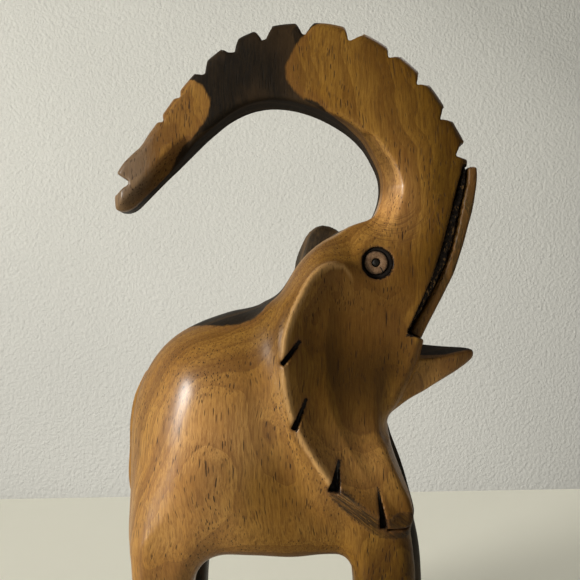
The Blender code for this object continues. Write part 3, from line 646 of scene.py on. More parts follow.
def put(me, name, values):
    a = me.attributes.new(name, "FLOAT", "POINT")
    a.data.foreach_set("value", np.asarray(values, np.float32))


def ripple(p, seed, scale, amp):
    """Repeatable smooth noise: a few sines of different direction."""
    g = np.random.default_rng(seed)
    out = np.zeros(len(p))
    for i in range(9):
        k = g.normal(size=3)
        k = k / np.linalg.norm(k) * (2 * np.pi / scale) * (0.6 + 0.9 * g.random())
        out += np.sin(p @ k + g.random() * 6.283)
    return amp * out / 3.0


# =================================================================== materials
def graph(name):
    m = bpy.data.materials.new(name)
    m.use_nodes = True
    t = m.node_tree
    t.nodes.clear()

    def node(kind, ins=None, **props):
        n = t.nodes.new(kind)
        for k, v in props.items():
            setattr(n, k, v)
        for k, v in (ins or {}).items():
            s = n.inputs[k]
            if isinstance(v, bpy.types.NodeSocket):
                t.links.new(v, s)
            else:
                s.default_value = v
        return n
    out = node("ShaderNodeOutputMaterial")
    return m, t, node, out


class Kit:
    """Short names for the maths the wood needs."""

    def __init__(self, node):
        self.node = node

    def m(self, op, a, b=0.0, c=0.0, clamp=False):
        n = self.node("ShaderNodeMath", {0: a, 1: b, 2: c}, operation=op, use_clamp=clamp)
        return n.outputs[0]

    def v(self, op, a, b=(0, 0, 0), s=None):
        ins = {0: a, 1: b}
        if s is not None:
            ins["Scale"] = s
        n = self.node("ShaderNodeVectorMath", ins, operation=op)
        return n.outputs["Value"] if op in ("LENGTH", "DOT_PRODUCT", "DISTANCE") else n.outputs["Vector"]

    def step(self, x, lo, hi, a=0.0, b=1.0):
        return self.node("ShaderNodeMapRange", {"Value": x, "From Min": lo, "From Max": hi, "To Min": a, "To Max": b},
                         interpolation_type="SMOOTHSTEP", clamp=True).outputs["Result"]

    def lin(self, x, lo, hi, a=0.0, b=1.0):
        return self.node("ShaderNodeMapRange", {"Value": x, "From Min": lo, "From Max": hi, "To Min": a, "To Max": b}, clamp=True).outputs["Result"]

    def noise(self, vec, scale, detail=3.0, rough=0.55, dist=0.0):
        return self.node("ShaderNodeTexNoise", {"Vector": vec, "Scale": scale, "Detail": detail, "Roughness": rough, "Distortion": dist}).outputs["Fac"]

    def noise_c(self, vec, scale, detail=2.0, rough=0.5):
        return self.node("ShaderNodeTexNoise", {"Vector": vec, "Scale": scale, "Detail": detail, "Roughness": rough}).outputs["Color"]

    def cells(self, vec, scale=1.0, rnd=1.0):
        return self.node("ShaderNodeTexVoronoi", {"Vector": vec, "Scale": scale, "Randomness": rnd}).outputs["Distance"]

    def mix(self, f, a, b, blend="MIX"):
        n = self.node("ShaderNodeMix", data_type="RGBA", blend_type=blend)
        n.clamp_factor = True
        fs, sa, sb = n.inputs["Factor"], n.inputs[6], n.inputs[7]
        for s, val in ((fs, f), (sa, a), (sb, b)):
            if isinstance(val, bpy.types.NodeSocket):
                n.id_data.links.new(val, s)
            elif s is fs:
                s.default_value = val
            else:
                s.default_value = (*val, 1.0) if len(val) == 3 else val
        return n.outputs[2]

    def attr(self, name):
        return self.node("ShaderNodeAttribute", attribute_name=name).outputs["Fac"]

    def shade(self, col, f):
        """Colour times a factor."""
        return self.v("SCALE", col, s=f)


def wood(name, sap=((0.49, 0.262, 0.074), (0.37, 0.176, 0.038)), heart=((0.0085, 0.0052, 0.0022), (0.022, 0.0132, 0.0052)),
         body=True, coat=0.46, coat_rough=0.27, grain=1.0):
    m, t, node, out = graph(name)
    k = Kit(node)
    here = node("ShaderNodeTexCoord").outputs["Object"]
    p = k.v("SCALE", here, s=1000.0)
    # the tree's own waviness
    wav = k.v("SUBTRACT", k.noise_c(p, 0.022), (0.5, 0.5, 0.5))
    small = k.v("SUBTRACT", k.noise_c(p, 0.09), (0.5, 0.5, 0.5))
    q = k.v("ADD", k.v("ADD", p, k.v("MULTIPLY", wav, (9.0, 9.0, 14.0))), k.v("MULTIPLY", small, (1.6, 1.6, 2.0)))
    # growth rings round a heart that lies far on the left side
    rel = k.v("MULTIPLY", k.v("SUBTRACT", q, (-34.0, 64.0, 140.0)), (0.62, 1.0, 0.34))
    rad = k.v("LENGTH", rel)
    ring = k.m("FRACT", k.m("MULTIPLY", rad, 1 / 2.9))
    ring = k.m("POWER", ring, 2.4)
    ring2 = k.m("FRACT", k.m("MULTIPLY", rad, 1 / 8.3))
    ring2 = k.m("MULTIPLY", k.step(ring2, 0.55, 0.95), k.step(ring2, 1.0, 0.97))
    # fibres
    fib = k.noise(k.v("MULTIPLY", q, (1.5, 1.5, 0.085)), 1.0, 4.0, 0.65)
    fine = k.noise(k.v("MULTIPLY", q, (4.2, 4.2, 0.30)), 1.0, 2.0, 0.6)
    cloud = k.noise(p, 0.045, 3.0, 0.55)
    cloud2 = k.noise(k.v("MULTIPLY", p, (1.0, 1.0, 0.5)), 0.11, 3.0, 0.6)
    # pores: small drawn-out cells, dots on end grain and dashes along it
    pa = k.step(k.cells(k.v("MULTIPLY", q, (1 / 0.62, 1 / 0.62, 1 / 6.5))), 0.16, 0.25, 1.0, 0.0)
    pb = k.step(k.cells(k.v("ADD", k.v("MULTIPLY", q, (1 / 1.2, 1 / 1.2, 1 / 19.0)), (7.3, 1.1, 4.4))), 0.12, 0.19, 1.0, 0.0)
    dens = k.step(k.noise(k.v("MULTIPLY", p, (1.0, 1.0, 0.45)), 0.10, 2.0), 0.36, 0.62, 0.25, 1.0)
    dens_b = k.step(k.noise(k.v("ADD", p, (31, 7, 5)), 0.055, 2.0), 0.38, 0.56, 0.15, 1.0)
    pore = k.m("MAXIMUM", k.m("MULTIPLY", pa, dens), k.m("MULTIPLY", pb, dens_b))
    # sapwood
    c = k.mix(k.lin(cloud, 0.30, 0.70), sap[0], sap[1])
    c = k.mix(k.step(cloud2, 0.50, 0.72, 0.0, 0.45), c, (0.43, 0.200, 0.036))
    c = k.mix(k.m("MULTIPLY", ring, 0.52 * grain), c, (0.20, 0.082, 0.022))
    c = k.mix(k.m("MULTIPLY", ring2, 0.62 * grain), c, (0.17, 0.070, 0.020))
    c = k.mix(k.step(fib, 0.40, 0.66, 0.0, 0.60 * grain), c, (0.175, 0.072, 0.019))
    c = k.mix(k.step(fine, 0.48, 0.70, 0.0, 0.45 * grain), c, (0.20, 0.085, 0.023))
    c = k.mix(k.step(fine, 0.46, 0.22, 0.0, 0.22 * grain), c, (0.56, 0.33, 0.125))
    rough = k.lin(fib, 0.2, 0.8, 0.40, 0.56)
    # the tusks' colour is darkened further here as painted shade
    if not body:
        c = k.v("MULTIPLY", c, (0.64, 0.71, 0.68))
    if body:
        # tone scales the sapwood colour: partly the wood's own colour, partly painted light and shade
        tone_shade = k.attr("tone_and_painted_shade")
        c = k.v("MULTIPLY", c, k.node("ShaderNodeCombineXYZ", {"X": tone_shade, "Y": k.m("POWER", tone_shade, 1.05), "Z": k.m("POWER", tone_shade, 1.75)}).outputs["Vector"])
        ax = k.node("ShaderNodeSeparateXYZ", {"Vector": p})
        end = k.step(k.m("ADD", ax.outputs["X"], k.lin(fib, 0.2, 0.8, -3.0, 3.0)), -46.0, -54.0, 0.0, 0.62)
        end = k.m("MULTIPLY", end, k.step(ax.outputs["Z"], 160.0, 170.0))
        c = k.mix(end, c, (0.125, 0.094, 0.066))
        streak = k.step(k.noise(k.v("MULTIPLY", q, (1.15, 1.15, 0.13)), 1.0, 3.0, 0.6), 0.60, 0.67, 0.0, 0.85)
        streak = k.m("MULTIPLY", streak, k.step(ax.outputs["X"], -22.0, -34.0))
        streak = k.m("MULTIPLY", streak, k.step(ax.outputs["Z"], 170.0, 180.0))
        c = k.mix(streak, c, (0.030, 0.014, 0.006))
        comb_r = k.v("LENGTH", k.v("MULTIPLY", k.v("SUBTRACT", p, (33.0, 0.0, 177.0)), (1.0, 0.0, 1.0)))
        comb = k.noise(k.node("ShaderNodeCombineXYZ", {"X": k.m("MULTIPLY", comb_r, 1.9), "Y": k.m("MULTIPLY", ax.outputs["X"], 0.12), "Z": 0.0}).outputs["Vector"], 1.0, 2.0, 0.6)
        combm = k.m("MULTIPLY", k.step(comb_r, 6.5, 9.5), k.step(comb_r, 22.0, 14.0))
        combm = k.m("MULTIPLY", combm, k.m("MULTIPLY", k.step(ax.outputs["X"], 20.0, 26.0), k.step(ax.outputs["Z"], 178.0, 170.0)))
        combm = k.m("MULTIPLY", combm, k.step(ax.outputs["Y"], -7.0, -9.0))
        c = k.mix(k.m("MULTIPLY", combm, k.step(comb, 0.50, 0.62, 0.0, 0.62)), c, (0.110, 0.048, 0.014))
        # the ears' crests are painted paler: partly wear, partly a painted highlight along the lit edge
        rim = k.step(k.m("ADD", k.attr("rim"), k.lin(fib, 0.2, 0.8, -0.6, 0.6)), 0.5, 2.2, 1.0, 0.0)
        c = k.mix(k.m("MULTIPLY", rim, 0.50), c, (0.50, 0.300, 0.120))
    c = k.mix(k.m("MULTIPLY", pore, 0.90), c, (0.020, 0.009, 0.004))
    if body:
        # heartwood, with a feathered, grain-following edge
        h = k.mix(k.step(fib, 0.35, 0.70), heart[0], heart[1])
        h = k.mix(k.m("MULTIPLY", ring, 0.35), h, (0.007, 0.004, 0.002))
        h = k.mix(k.step(cloud2, 0.50, 0.75, 0.0, 0.55), h, (0.050, 0.028, 0.011))
        h = k.mix(k.m("MULTIPLY", ring2, 0.5), h, (0.075, 0.042, 0.017))
        h = k.mix(k.m("MULTIPLY", pore, 0.5), h, (0.006, 0.004, 0.002))
        # painted light and shade: the heartwood is painted 0.72 times as bright on the near side and up to 2.2 times on
        # the far side, for how the lamps fall on each side
        h = k.shade(h, k.lin(k.node("ShaderNodeSeparateXYZ", {"Vector": p}).outputs["Y"], 8.0, 22.0, 0.72, 2.2))
        edge = k.m("ADD", k.attr("heart"), k.m("ADD", k.lin(fib, 0.2, 0.8, -0.55, 0.55), k.lin(cloud2, 0.2, 0.8, -1.3, 1.3)))
        hf = k.step(edge, -0.55, 0.65)
        c = k.mix(hf, c, h)
        halo = k.m("MULTIPLY", k.step(edge, -4.0, -0.3), k.m("SUBTRACT", 1.0, hf))
        c = k.mix(k.m("MULTIPLY", halo, 0.30), c, (0.16, 0.068, 0.020))
        # scorched cuts; the notches and nicks are painted dark partly for scorch, partly as painted shade in their
        # depths
        jag = k.lin(k.noise(p, 1.1, 4.0, 0.7), 0.2, 0.8, -0.55, 0.55)
        no = k.step(k.m("ADD", k.attr("notch"), jag), -0.35, 0.35, 1.0, 0.0)
        c = k.mix(k.m("MULTIPLY", no, 0.60), c, (0.060, 0.029, 0.013))
        slope = k.v("DOT_PRODUCT", p, (0.62, 0.2, 0.80))
        lines = k.noise(k.v("MULTIPLY", k.node("ShaderNodeCombineXYZ", {"X": slope, "Y": k.v("DOT_PRODUCT", p, (0.80, 0.0, -0.62)), "Z": 0.0}).outputs["Vector"], (1.9, 0.10, 1.0)), 1.0, 4.0, 0.7, 0.4)
        rp = k.step(k.m("ADD", k.attr("rasp"), k.m("MULTIPLY", jag, 1.6)), -0.4, 0.9, 1.0, 0.0)
        c = k.mix(k.m("MULTIPLY", rp, k.step(lines, 0.40, 0.58, 0.25, 0.92)), c, (0.034, 0.020, 0.009))
        # nicks and the saw line are painted near black: partly scorch, partly painted shade in their depths
        bn = k.m("ADD", k.attr("nick"), k.m("MULTIPLY", jag, 0.8))
        bf = k.step(bn, -0.15, 0.30, 1.0, 0.0)
        glow = k.step(bn, 0.0, 1.9, 1.0, 0.0)
        c = k.mix(k.m("MULTIPLY", glow, 0.45), c, (0.13, 0.055, 0.018))
        c = k.mix(bf, c, (0.010, 0.007, 0.006))
        bd = k.step(k.m("ADD", k.attr("bed"), k.m("MULTIPLY", jag, 1.7)), -0.35, 0.20, 1.0, 0.0)
        c = k.mix(k.m("MULTIPLY", bd, 0.96), c, (0.012, 0.008, 0.006))
        rough = k.m("ADD", rough, k.m("MULTIPLY", k.m("MAXIMUM", bf, bd), 0.38), clamp=True)
        rough = k.m("ADD", rough, k.m("MULTIPLY", hf, 0.12), clamp=True)
        rough = k.m("ADD", rough, k.m("MULTIPLY", k.attr("matte_and_painted_shade"), 0.45), clamp=True)
        # painted shade: the arch's underside and the mouth floor are painted darker
        c = k.mix(k.m("MULTIPLY", k.attr("matte_and_painted_shade"), 0.55), c, (0.016, 0.010, 0.006))
    rough = k.m("ADD", rough, k.m("MULTIPLY", pore, 0.2), clamp=True)
    # relief: pores sink, fibres stand, knife facets underneath
    hgt = k.m("ADD", k.m("MULTIPLY", pore, -0.055), k.m("MULTIPLY", fib, 0.045))
    hgt = k.m("ADD", hgt, k.m("MULTIPLY", fine, 0.018))
    hgt = k.m("ADD", hgt, k.m("MULTIPLY", k.noise(p, 0.30, 2.0, 0.5), 0.16))
    if body:
        chop = k.noise(k.v("MULTIPLY", p, (1.0, 1.0, 0.6)), 0.95, 4.0, 0.65)
        hgt = k.m("ADD", hgt, k.m("MULTIPLY", k.m("MULTIPLY", chop, k.m("MAXIMUM", bf, bd)), 0.9))
        hgt = k.m("ADD", hgt, k.m("MULTIPLY", k.m("MULTIPLY", lines, rp), 1.1))
    bump = node("ShaderNodeBump", {"Strength": 1.0, "Distance": 0.001, "Height": hgt})
    bs = node("ShaderNodeBsdfPrincipled", {"Base Color": c, "Roughness": rough, "Normal": bump.outputs["Normal"]})
    bs.inputs["IOR"].default_value = 1.47
    bs.inputs["Specular IOR Level"].default_value = 0.12
    if body:
        t.links.new(k.m("MULTIPLY", k.m("MULTIPLY", k.m("SUBTRACT", 1.0, k.attr("matte_and_painted_shade")), k.m("SUBTRACT", 1.0, k.m("MULTIPLY", hf, 0.6))), k.step(tone_shade, 0.52, 0.92, 0.10 * coat, coat)), bs.inputs["Coat Weight"])
    else:
        bs.inputs["Coat Weight"].default_value = coat
    bs.inputs["Coat Roughness"].default_value = coat_rough
    bs.inputs["Coat IOR"].default_value = 1.5
    t.links.new(bs.outputs["BSDF"], out.inputs["Surface"])
    return m


def char(name, base=(0.012, 0.008, 0.006), chips=None, chip_level=0.60, rough=0.82, relief=0.5, fleck=1.3, level=0.25):
    """Scorched wood, black filler, or the painted shade of a drilled hole: rough, with pale chips where asked."""
    m, t, node, out = graph(name)
    k = Kit(node)
    here = node("ShaderNodeTexCoord").outputs["Object"]
    p = k.v("SCALE", here, s=1000.0)
    a = k.noise(p, 1.7, 5.0, 0.7)
    b = k.noise(k.v("MULTIPLY", p, (1.0, 1.0, 0.35)), fleck, 3.0, 0.6)
    c = k.mix(k.step(a, 0.35, 0.72), base, tuple(2.6 * v for v in base))
    r = k.lin(a, 0.2, 0.8, rough - 0.14, min(rough + 0.1, 1.0))
    if chips:
        f = k.step(k.m("ADD", b, k.m("MULTIPLY", k.attr("lip"), 0.10)), chip_level, chip_level + 0.05)
        c = k.mix(f, c, chips)
    hgt = k.m("ADD", k.m("MULTIPLY", a, relief), k.m("MULTIPLY", b, relief * 0.6))
    bump = node("ShaderNodeBump", {"Strength": 1.0, "Distance": 0.001, "Height": hgt})
    bs = node("ShaderNodeBsdfPrincipled", {"Base Color": c, "Roughness": r, "Normal": bump.outputs["Normal"]})
    bs.inputs["Specular IOR Level"].default_value = level
    bs.inputs["Coat Weight"].default_value = 0.03
    bs.inputs["Coat Roughness"].default_value = 0.35
    t.links.new(bs.outputs["BSDF"], out.inputs["Surface"])
    return m


def eye_disc_material(name):
    m, t, node, out = graph(name)
    k = Kit(node)
    here = node("ShaderNodeTexCoord").outputs["Object"]
    p = k.v("SCALE", here, s=1000.0)
    grit = k.noise(p, 1.9, 4.0, 0.65)
    ringy = k.noise(k.v("MULTIPLY", p, (2.6, 2.6, 0.5)), 1.0, 3.0, 0.6)
    c = k.mix(k.step(grit, 0.35, 0.70), (0.205, 0.122, 0.066), (0.115, 0.060, 0.029))
    c = k.mix(k.step(ringy, 0.48, 0.70, 0.0, 0.5), c, (0.060, 0.030, 0.014))
    edge = k.step(k.m("ADD", k.attr("edge"), k.lin(grit, 0.2, 0.8, -0.35, 0.35)), -0.75, 0.1)
    c = k.mix(edge, c, (0.020, 0.012, 0.008))
    crack = k.step(k.m("ADD", k.attr("crack"), k.lin(grit, 0.2, 0.8, -0.1, 0.1)), 0.10, 0.26, 1.0, 0.0)
    c = k.mix(crack, c, (0.010, 0.007, 0.005))
    hgt = k.m("ADD", k.m("MULTIPLY", grit, 0.10), k.m("MULTIPLY", crack, -0.2))
    bump = node("ShaderNodeBump", {"Strength": 1.0, "Distance": 0.001, "Height": hgt})
    bs = node("ShaderNodeBsdfPrincipled", {"Base Color": c, "Roughness": k.lin(grit, 0.2, 0.8, 0.42, 0.62), "Normal": bump.outputs["Normal"]})
    bs.inputs["Specular IOR Level"].default_value = 0.2
    bs.inputs["Coat Weight"].default_value = 0.05
    bs.inputs["Coat Roughness"].default_value = 0.30
    t.links.new(bs.outputs["BSDF"], out.inputs["Surface"])
    return m


CARVED = wood("carved_wood_two_tone")
# the tusks are golden wood given dark colours as painted shade
TUSKWOOD = wood("tusk_wood_painted_shade", sap=((0.070, 0.043, 0.015), (0.030, 0.017, 0.006)), body=False, coat=0.07, coat_rough=0.30, grain=1.4)
FILLER = char("tusk_filler_black", chips=(0.22, 0.125, 0.048), chip_level=0.635)
RING = char("eye_ring_scorched", base=(0.006, 0.004, 0.003), rough=0.78, relief=0.22, level=0.15)
PUPIL = char("eye_pupil_painted_hole_shade", base=(0.005, 0.004, 0.003), rough=0.55, relief=0.10, level=0.2)
DISC = eye_disc_material("eye_disc_pale")


# ==================================================================== the body
def carve():
    g = field()
    f = cut(*g)
    V, Q = nets(f, g[0], g[1], g[2])
    V = relax(V, Q)
    V[:, 2] = np.maximum(V[:, 2], 0.0)
    return V, Q


V, Q = carve()
me = new_mesh("carved_body_raw", metres(V), Q)
raw = bpy.data.objects.new("carved_body_raw", me)
scene.collection.objects.link(raw)
goal = 192000
mod = raw.modifiers.new("fewer", "DECIMATE")
mod.ratio = min(1.0, goal / (2.0 * len(Q)))
dg = bpy.context.evaluated_depsgraph_get()
fine = bpy.data.meshes.new_from_object(raw.evaluated_get(dg))
bpy.data.objects.remove(raw)
fine.name = "elephant_body"
fine.polygons.foreach_set("use_smooth", np.ones(len(fine.polygons), bool))
P = points_of(fine) * 1000.0 - MOVE
put(fine, "heart", np.clip(heart_depth(P), -12, 12))
put(fine, "nick", np.clip(nick_depth(P), -4, 6))
put(fine, "rasp", np.clip(rasp_depth(P), -4, 6))
put(fine, "notch", np.clip(notch_depth(P), -4, 6))
put(fine, "bed", np.clip(bed_depth(P), -4, 6))
put(fine, "rim", np.clip(rim_wear_and_highlight_depth(P), -4, 9))
put(fine, "tone_and_painted_shade", tone_and_painted_shade(P))
put(fine, "matte_and_painted_shade", matte_and_shade_depth(P))
body = new_object("elephant_body", fine, CARVED)
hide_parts("carved_body")
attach(body, "root")


# ==================================================================== the tusks
def sweep(name, centre, normal, half_t, half_w, y_mid, side, expo, shape, material, around=44, seed=1):
    """A strip swept along a side-view curve. shape(u, a, p) moves each point along its own outward direction."""
    n = len(centre)
    u = np.linspace(0, 1, n)
    a = np.linspace(0, 2 * np.pi, around, endpoint=False)
    ca, sa = np.cos(a), np.sin(a)
    ct = np.sign(ca) * np.abs(ca) ** (2.0 / expo)   # along the thickness
    cw = np.sign(sa) * np.abs(sa) ** (2.0 / expo)   # along the width
    verts = []
    for i in range(n):
        t = half_t[i]
        x = centre[i, 0] + normal[i, 0] * ct * t
        z = centre[i, 1] + normal[i, 1] * ct * t
        y = side * (y_mid + cw * half_w[i])
        ring_pts = np.stack([x, y, z], 1)
        mid = np.array([centre[i, 0], side * y_mid, centre[i, 1]])
        verts.append(ring_pts + (ring_pts - mid) / (np.linalg.norm(ring_pts - mid, axis=1)[:, None] + 1e-9) * shape(u[i], a, ring_pts)[:, None])
    verts = np.vstack(verts)
    F = []
    for i in range(n - 1):
        for j in range(around):
            j2 = (j + 1) % around
            q = (i * around + j, i * around + j2, (i + 1) * around + j2, (i + 1) * around + j)
            F.append(q if side < 0 else q[::-1])
    for end, row in ((0, 0), (n - 1, n - 1)):
        c = verts[row * around:(row + 1) * around].mean(0)
        verts = np.vstack([verts, [c]])
        ci = len(verts) - 1
        for j in range(around):
            j2 = (j + 1) % around
            tri = (row * around + j2, row * around + j, ci) if end == 0 else (row * around + j, row * around + j2, ci)
            F.append(tri if side < 0 else tri[::-1])
    me = new_mesh(name, metres(verts), F)
    put(me, "lip", np.concatenate([np.tile((1 - ct) / 2, n), [0.5, 0.5]]))
    o = new_object(name, me, material)
    return o


def curve_frames(steps):
    c = rom(TUSK, 30, closed=False)
    s = np.concatenate([[0], np.cumsum(np.linalg.norm(np.diff(c, axis=0), axis=1))])
    g = np.linspace(0, s[-1], steps)
    # denser towards both ends, for their rounded tips
    g = s[-1] * (0.5 - 0.5 * np.cos(np.pi * (0.15 * 0 + np.linspace(0, 1, steps)))) * 0.35 + g * 0.65
    c = np.stack([np.interp(g, s, c[:, 0]), np.interp(g, s, c[:, 1])], 1)
    t = np.gradient(c, axis=0)
    t /= np.linalg.norm(t, axis=1)[:, None]
    return c, np.stack([-t[:, 1], t[:, 0]], 1), g / s[-1], s[-1]


STEPS = 170
front, back_dir, U, LENGTH = curve_frames(STEPS)
for side, tag in ((-1, "right"), (1, "left")):
    w = strip_w(U)
    end = np.sqrt(np.clip(1 - np.clip(1 - U * LENGTH / 0.7, 0, 1) ** 2, 0.02, 1)) * np.sqrt(np.clip(1 - np.clip(1 - (1 - U) * LENGTH / 1.0, 0, 1) ** 2, 0.02, 1))
    centre = front + back_dir * (w / 2)[:, None]

    def tusk_shape(u, a, p, side=side):
        r = ripple(p, 11 + side, 9.0, 0.10)
        chip = np.clip(ripple(p, 23 + side, 2.6, 1.0) - 0.15, 0, 1) * np.exp(-((a - 0.78) / 0.36) ** 2)
        return r - 0.85 * chip - 0.05
    o = sweep("tusk_strip_" + tag, centre, back_dir, w / 2 * end, 4.2 * (0.35 + 0.65 * end), 7.8, side, 4.2, tusk_shape, TUSKWOOD, around=60)
    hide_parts("tusk_" + tag)
    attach(o, "root")
    s = seam_w(U)
    taper = 0.30 + 0.70 * np.clip(U * LENGTH / 16.0, 0, 1) ** 0.7
    centre = front + back_dir * (w + 0.3 + s / 2)[:, None]

    def seam_shape(u, a, p, side=side):
        return ripple(p, 31 + side, 1.5, 0.26) + ripple(p, 41 + side, 4.0, 0.22) - 0.16
    o = sweep("seam_filler_" + tag, centre, back_dir, s / 2 * (0.4 + 0.6 * end) * 1.04, (3.75 - 1.2 * (1 - taper)) * (0.5 + 0.5 * end), 7.60, side, 3.6, seam_shape, FILLER, around=36)
    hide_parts("tusk_seam_filler_" + tag)
    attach(o, "root")


# ===================================================================== the eyes
def turned(name, profile, side, material, cx, cz, around=120, wob=0.05, seed=3, crack=None, ring=False, shift=(0, 0), inner=0.0):
    """Profile of (radius, |y|) pairs turned round the eye's own axis. Closed on the axis, or into a ring."""
    pr = np.asarray(profile, float)
    n = len(pr)
    a = np.linspace(0, 2 * np.pi, around, endpoint=False)
    V = []
    for r, yy in pr:
        s = 1.0 if r < inner else 0.0  # the hole lies off the outer edge's centre
        V.append(np.stack([cx + s * shift[0] + r * np.cos(a), np.full(around, side * yy), cz + s * shift[1] + r * np.sin(a)], 1))
    V = np.vstack(V)
    d = V - np.array([cx, 0, cz])
    rr = np.hypot(d[:, 0], d[:, 2])
    k = ripple(V, seed, 3.4, wob) * np.clip(rr, 0, 1.5) / 1.5
    V[:, 0] += d[:, 0] / (rr + 1e-6) * k
    V[:, 2] += d[:, 2] / (rr + 1e-6) * k
    V[:, 1] += side * ripple(V, seed + 7, 2.1, wob * 0.8)
    if crack is not None:
        ang, r0 = crack
        da = np.abs(np.sin((np.arctan2(d[:, 2], d[:, 0]) - ang - 0.05 * np.sin(rr * 3.0)) / 2)) * 2 * rr
        cr = np.where(rr < r0, 9.0, da)
    F = []
    rows = range(n) if ring else range(n - 1)
    for i in rows:
        i2 = (i + 1) % n
        for j in range(around):
            j2 = (j + 1) % around
            q = (i * around + j, i * around + j2, i2 * around + j2, i2 * around + j)
            F.append(q if side > 0 else q[::-1])
    if not ring:
        for row in (0, n - 1):
            c = V[row * around:(row + 1) * around].mean(0)
            V = np.vstack([V, [c]])
            ci = len(V) - 1
            for j in range(around):
                j2 = (j + 1) % around
                tri = (row * around + j2, row * around + j, ci) if row == 0 else (row * around + j, row * around + j2, ci)
                F.append(tri if side > 0 else tri[::-1])
        if crack is not None:
            cr = np.concatenate([cr, [9.0, 9.0]])
            rr = np.concatenate([rr, [0, 0]])
    me = new_mesh(name, metres(V), F)
    if crack is not None:
        put(me, "crack", np.clip(cr, 0, 3))
        put(me, "edge", np.clip(rr - 3.95, -3, 1))
    return new_object(name, me, material)


def fillet(points, r=0.25, seg_n=4):
    """Rounds the corners of a closed profile."""
    p = np.asarray(points, float)
    out = []
    n = len(p)
    for i in range(n):
        a, b, c = p[(i - 1) % n], p[i], p[(i + 1) % n]
        u, v = (a - b) / np.linalg.norm(a - b), (c - b) / np.linalg.norm(c - b)
        q = min(r, 0.45 * np.linalg.norm(a - b), 0.45 * np.linalg.norm(c - b))
        s0, s1 = b + u * q, b + v * q
        for k in range(seg_n + 1):
            t = k / seg_n
            out.append((1 - t) ** 2 * s0 + 2 * t * (1 - t) * b + t * t * s1)
    return out


EX, EZ = 27.0, 153.4
for side, tag in ((-1, "right"), (1, "left")):
    o = turned("eye_groove_ring_" + tag, fillet([(4.22, 13.0), (5.15, 13.0), (5.15, 15.25), (4.22, 15.25)][::-1], 0.22), side, RING, EX, EZ, wob=0.06, seed=5, ring=True,
               shift=(-0.42, 0.18), inner=4.7)
    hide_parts("eye_ring_" + tag)
    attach(o, "root")
    o = turned("eye_iris_" + tag, fillet([(1.50, 13.0), (4.06, 13.0), (4.06, 15.35), (3.80, 15.72), (3.0, 15.85), (2.1, 15.78), (1.50, 15.6)][::-1], 0.14, 3),
               side, DISC, EX - 0.42, EZ + 0.18, wob=0.05, seed=8, crack=(-0.88, 2.0), ring=True)
    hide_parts("eye_disc_" + tag)
    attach(o, "root")
    # the pupil is a drilled hole; this black pin paints the shade inside it
    o = turned("eye_centre_" + tag, [(0.05, 13.0), (0.9, 13.0), (1.28, 13.2), (1.3, 14.9), (1.2, 15.3), (0.9, 15.5), (0.5, 15.58), (0.05, 15.6)][::-1],
               side, PUPIL, EX - 0.42, EZ + 0.18, around=64, wob=0.03, seed=9)
    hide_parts("eye_pupil_" + tag)
    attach(o, "root")


# ===================================================================== the room
def pale(name, col, rough, peel=0.0, peel_scale=1.0, coat=0.0):
    m, t, node, out = graph(name)
    k = Kit(node)
    here = node("ShaderNodeTexCoord").outputs["Object"]
    p = k.v("SCALE", here, s=1000.0)
    big = k.noise(p, 0.004, 2.0, 0.5)
    c = k.mix(k.lin(big, 0.3, 0.7), col, tuple(0.965 * v for v in col))
    ins = {"Base Color": c, "Roughness": k.lin(k.noise(p, 0.05, 2.0), 0.3, 0.7, rough - 0.04, rough + 0.04)}
    if peel:
        n1 = k.noise(p, 0.16 * peel_scale, 3.0, 0.55)
        ins["Normal"] = node("ShaderNodeBump", {"Strength": 1.0, "Distance": 0.001, "Height": k.m("MULTIPLY", n1, peel)}).outputs["Normal"]
    bs = node("ShaderNodeBsdfPrincipled", ins)
    bs.inputs["Specular IOR Level"].default_value = 0.35
    bs.inputs["Coat Weight"].default_value = coat
    bs.inputs["Coat Roughness"].default_value = 0.35
    t.links.new(bs.outputs["BSDF"], out.inputs["Surface"])
    return m


lo, hi = CAD_BOX
turn = math.radians(3.1)
cs, sn = math.cos(turn), math.sin(turn)


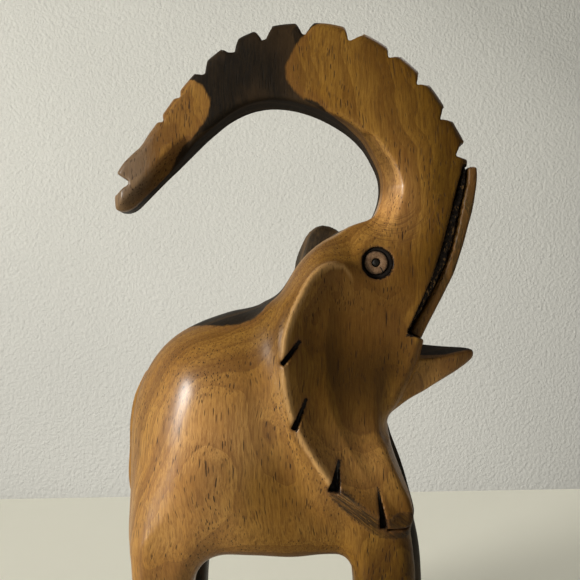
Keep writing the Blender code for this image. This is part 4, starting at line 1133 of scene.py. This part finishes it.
def board(name, x0, x1, y0, y1, z0, z1, material, bevel=0.004, pivot=(0.0, 0.222)):
    """A plain board with eased edges, turned a little about the vertical."""
    import bmesh
    bm = bmesh.new()
    bmesh.ops.create_cube(bm, size=1.0)
    for v in bm.verts:
        x, y, z = (x0 + x1) / 2 + v.co.x * (x1 - x0), (y0 + y1) / 2 + v.co.y * (y1 - y0), (z0 + z1) / 2 + v.co.z * (z1 - z0)
        dx, dy = x - pivot[0], y - pivot[1]
        v.co = (pivot[0] + dx * cs - dy * sn, pivot[1] + dx * sn + dy * cs, z)
    bmesh.ops.bevel(bm, geom=list(bm.edges), offset=bevel, segments=4, profile=0.5, affect="EDGES")
    me = bpy.data.meshes.new(name)
    bm.to_mesh(me)
    bm.free()
    me.polygons.foreach_set("use_smooth", np.ones(len(me.polygons), bool))
    return new_object(name, me, material)


table = board("table", -1.6, 1.6, -1.4, 0.222, -0.030, -0.0001, pale("table_paint", (0.85, 0.84, 0.725), 0.42, coat=0.08), pivot=(-0.0017, 0.222))
wall = board("wall", -2.6, 2.6, 0.95, 1.00, -1.2, 2.4, pale("wall_paint", (0.585, 0.585, 0.548), 0.72, peel=2.6, peel_scale=1.15), pivot=(-0.0017, 0.95))

# ======================================================================= light
world = bpy.data.worlds.new("studio")
scene.world = world
world.use_nodes = True
wn = world.node_tree.nodes.get("Background") or world.node_tree.nodes.new("ShaderNodeBackground")
wn.inputs["Color"].default_value = (1.0, 0.975, 0.92, 1.0)
wn.inputs["Strength"].default_value = 0.15


def softbox(name, at, aim, size, power, colour=(1.0, 0.97, 0.91)):
    d = bpy.data.lights.new(name, "AREA")
    d.shape = "DISK"
    d.size = size
    d.energy = power
    d.color = colour
    o = bpy.data.objects.new(name, d)
    o.location = at
    v = np.array(aim) - np.array(at)
    from mathutils import Vector
    o.rotation_euler = Vector(v).to_track_quat("-Z", "Y").to_euler()
    o.visible_camera = False
    scene.collection.objects.link(o)
    return o


softbox("key", (-2.24, -1.28, 0.77), (0, 0, 0.12), 0.78, 90.0)
softbox("wash", (0.10, 0.34, -0.16), (0.10, 0.95, -0.06), 1.0, 2.2)
softbox("back", (0.45, 0.46, 0.92), (0, 0, 0.12), 0.4, 2.6)

scene.view_settings.view_transform = "Standard"
scene.view_settings.look = "None"
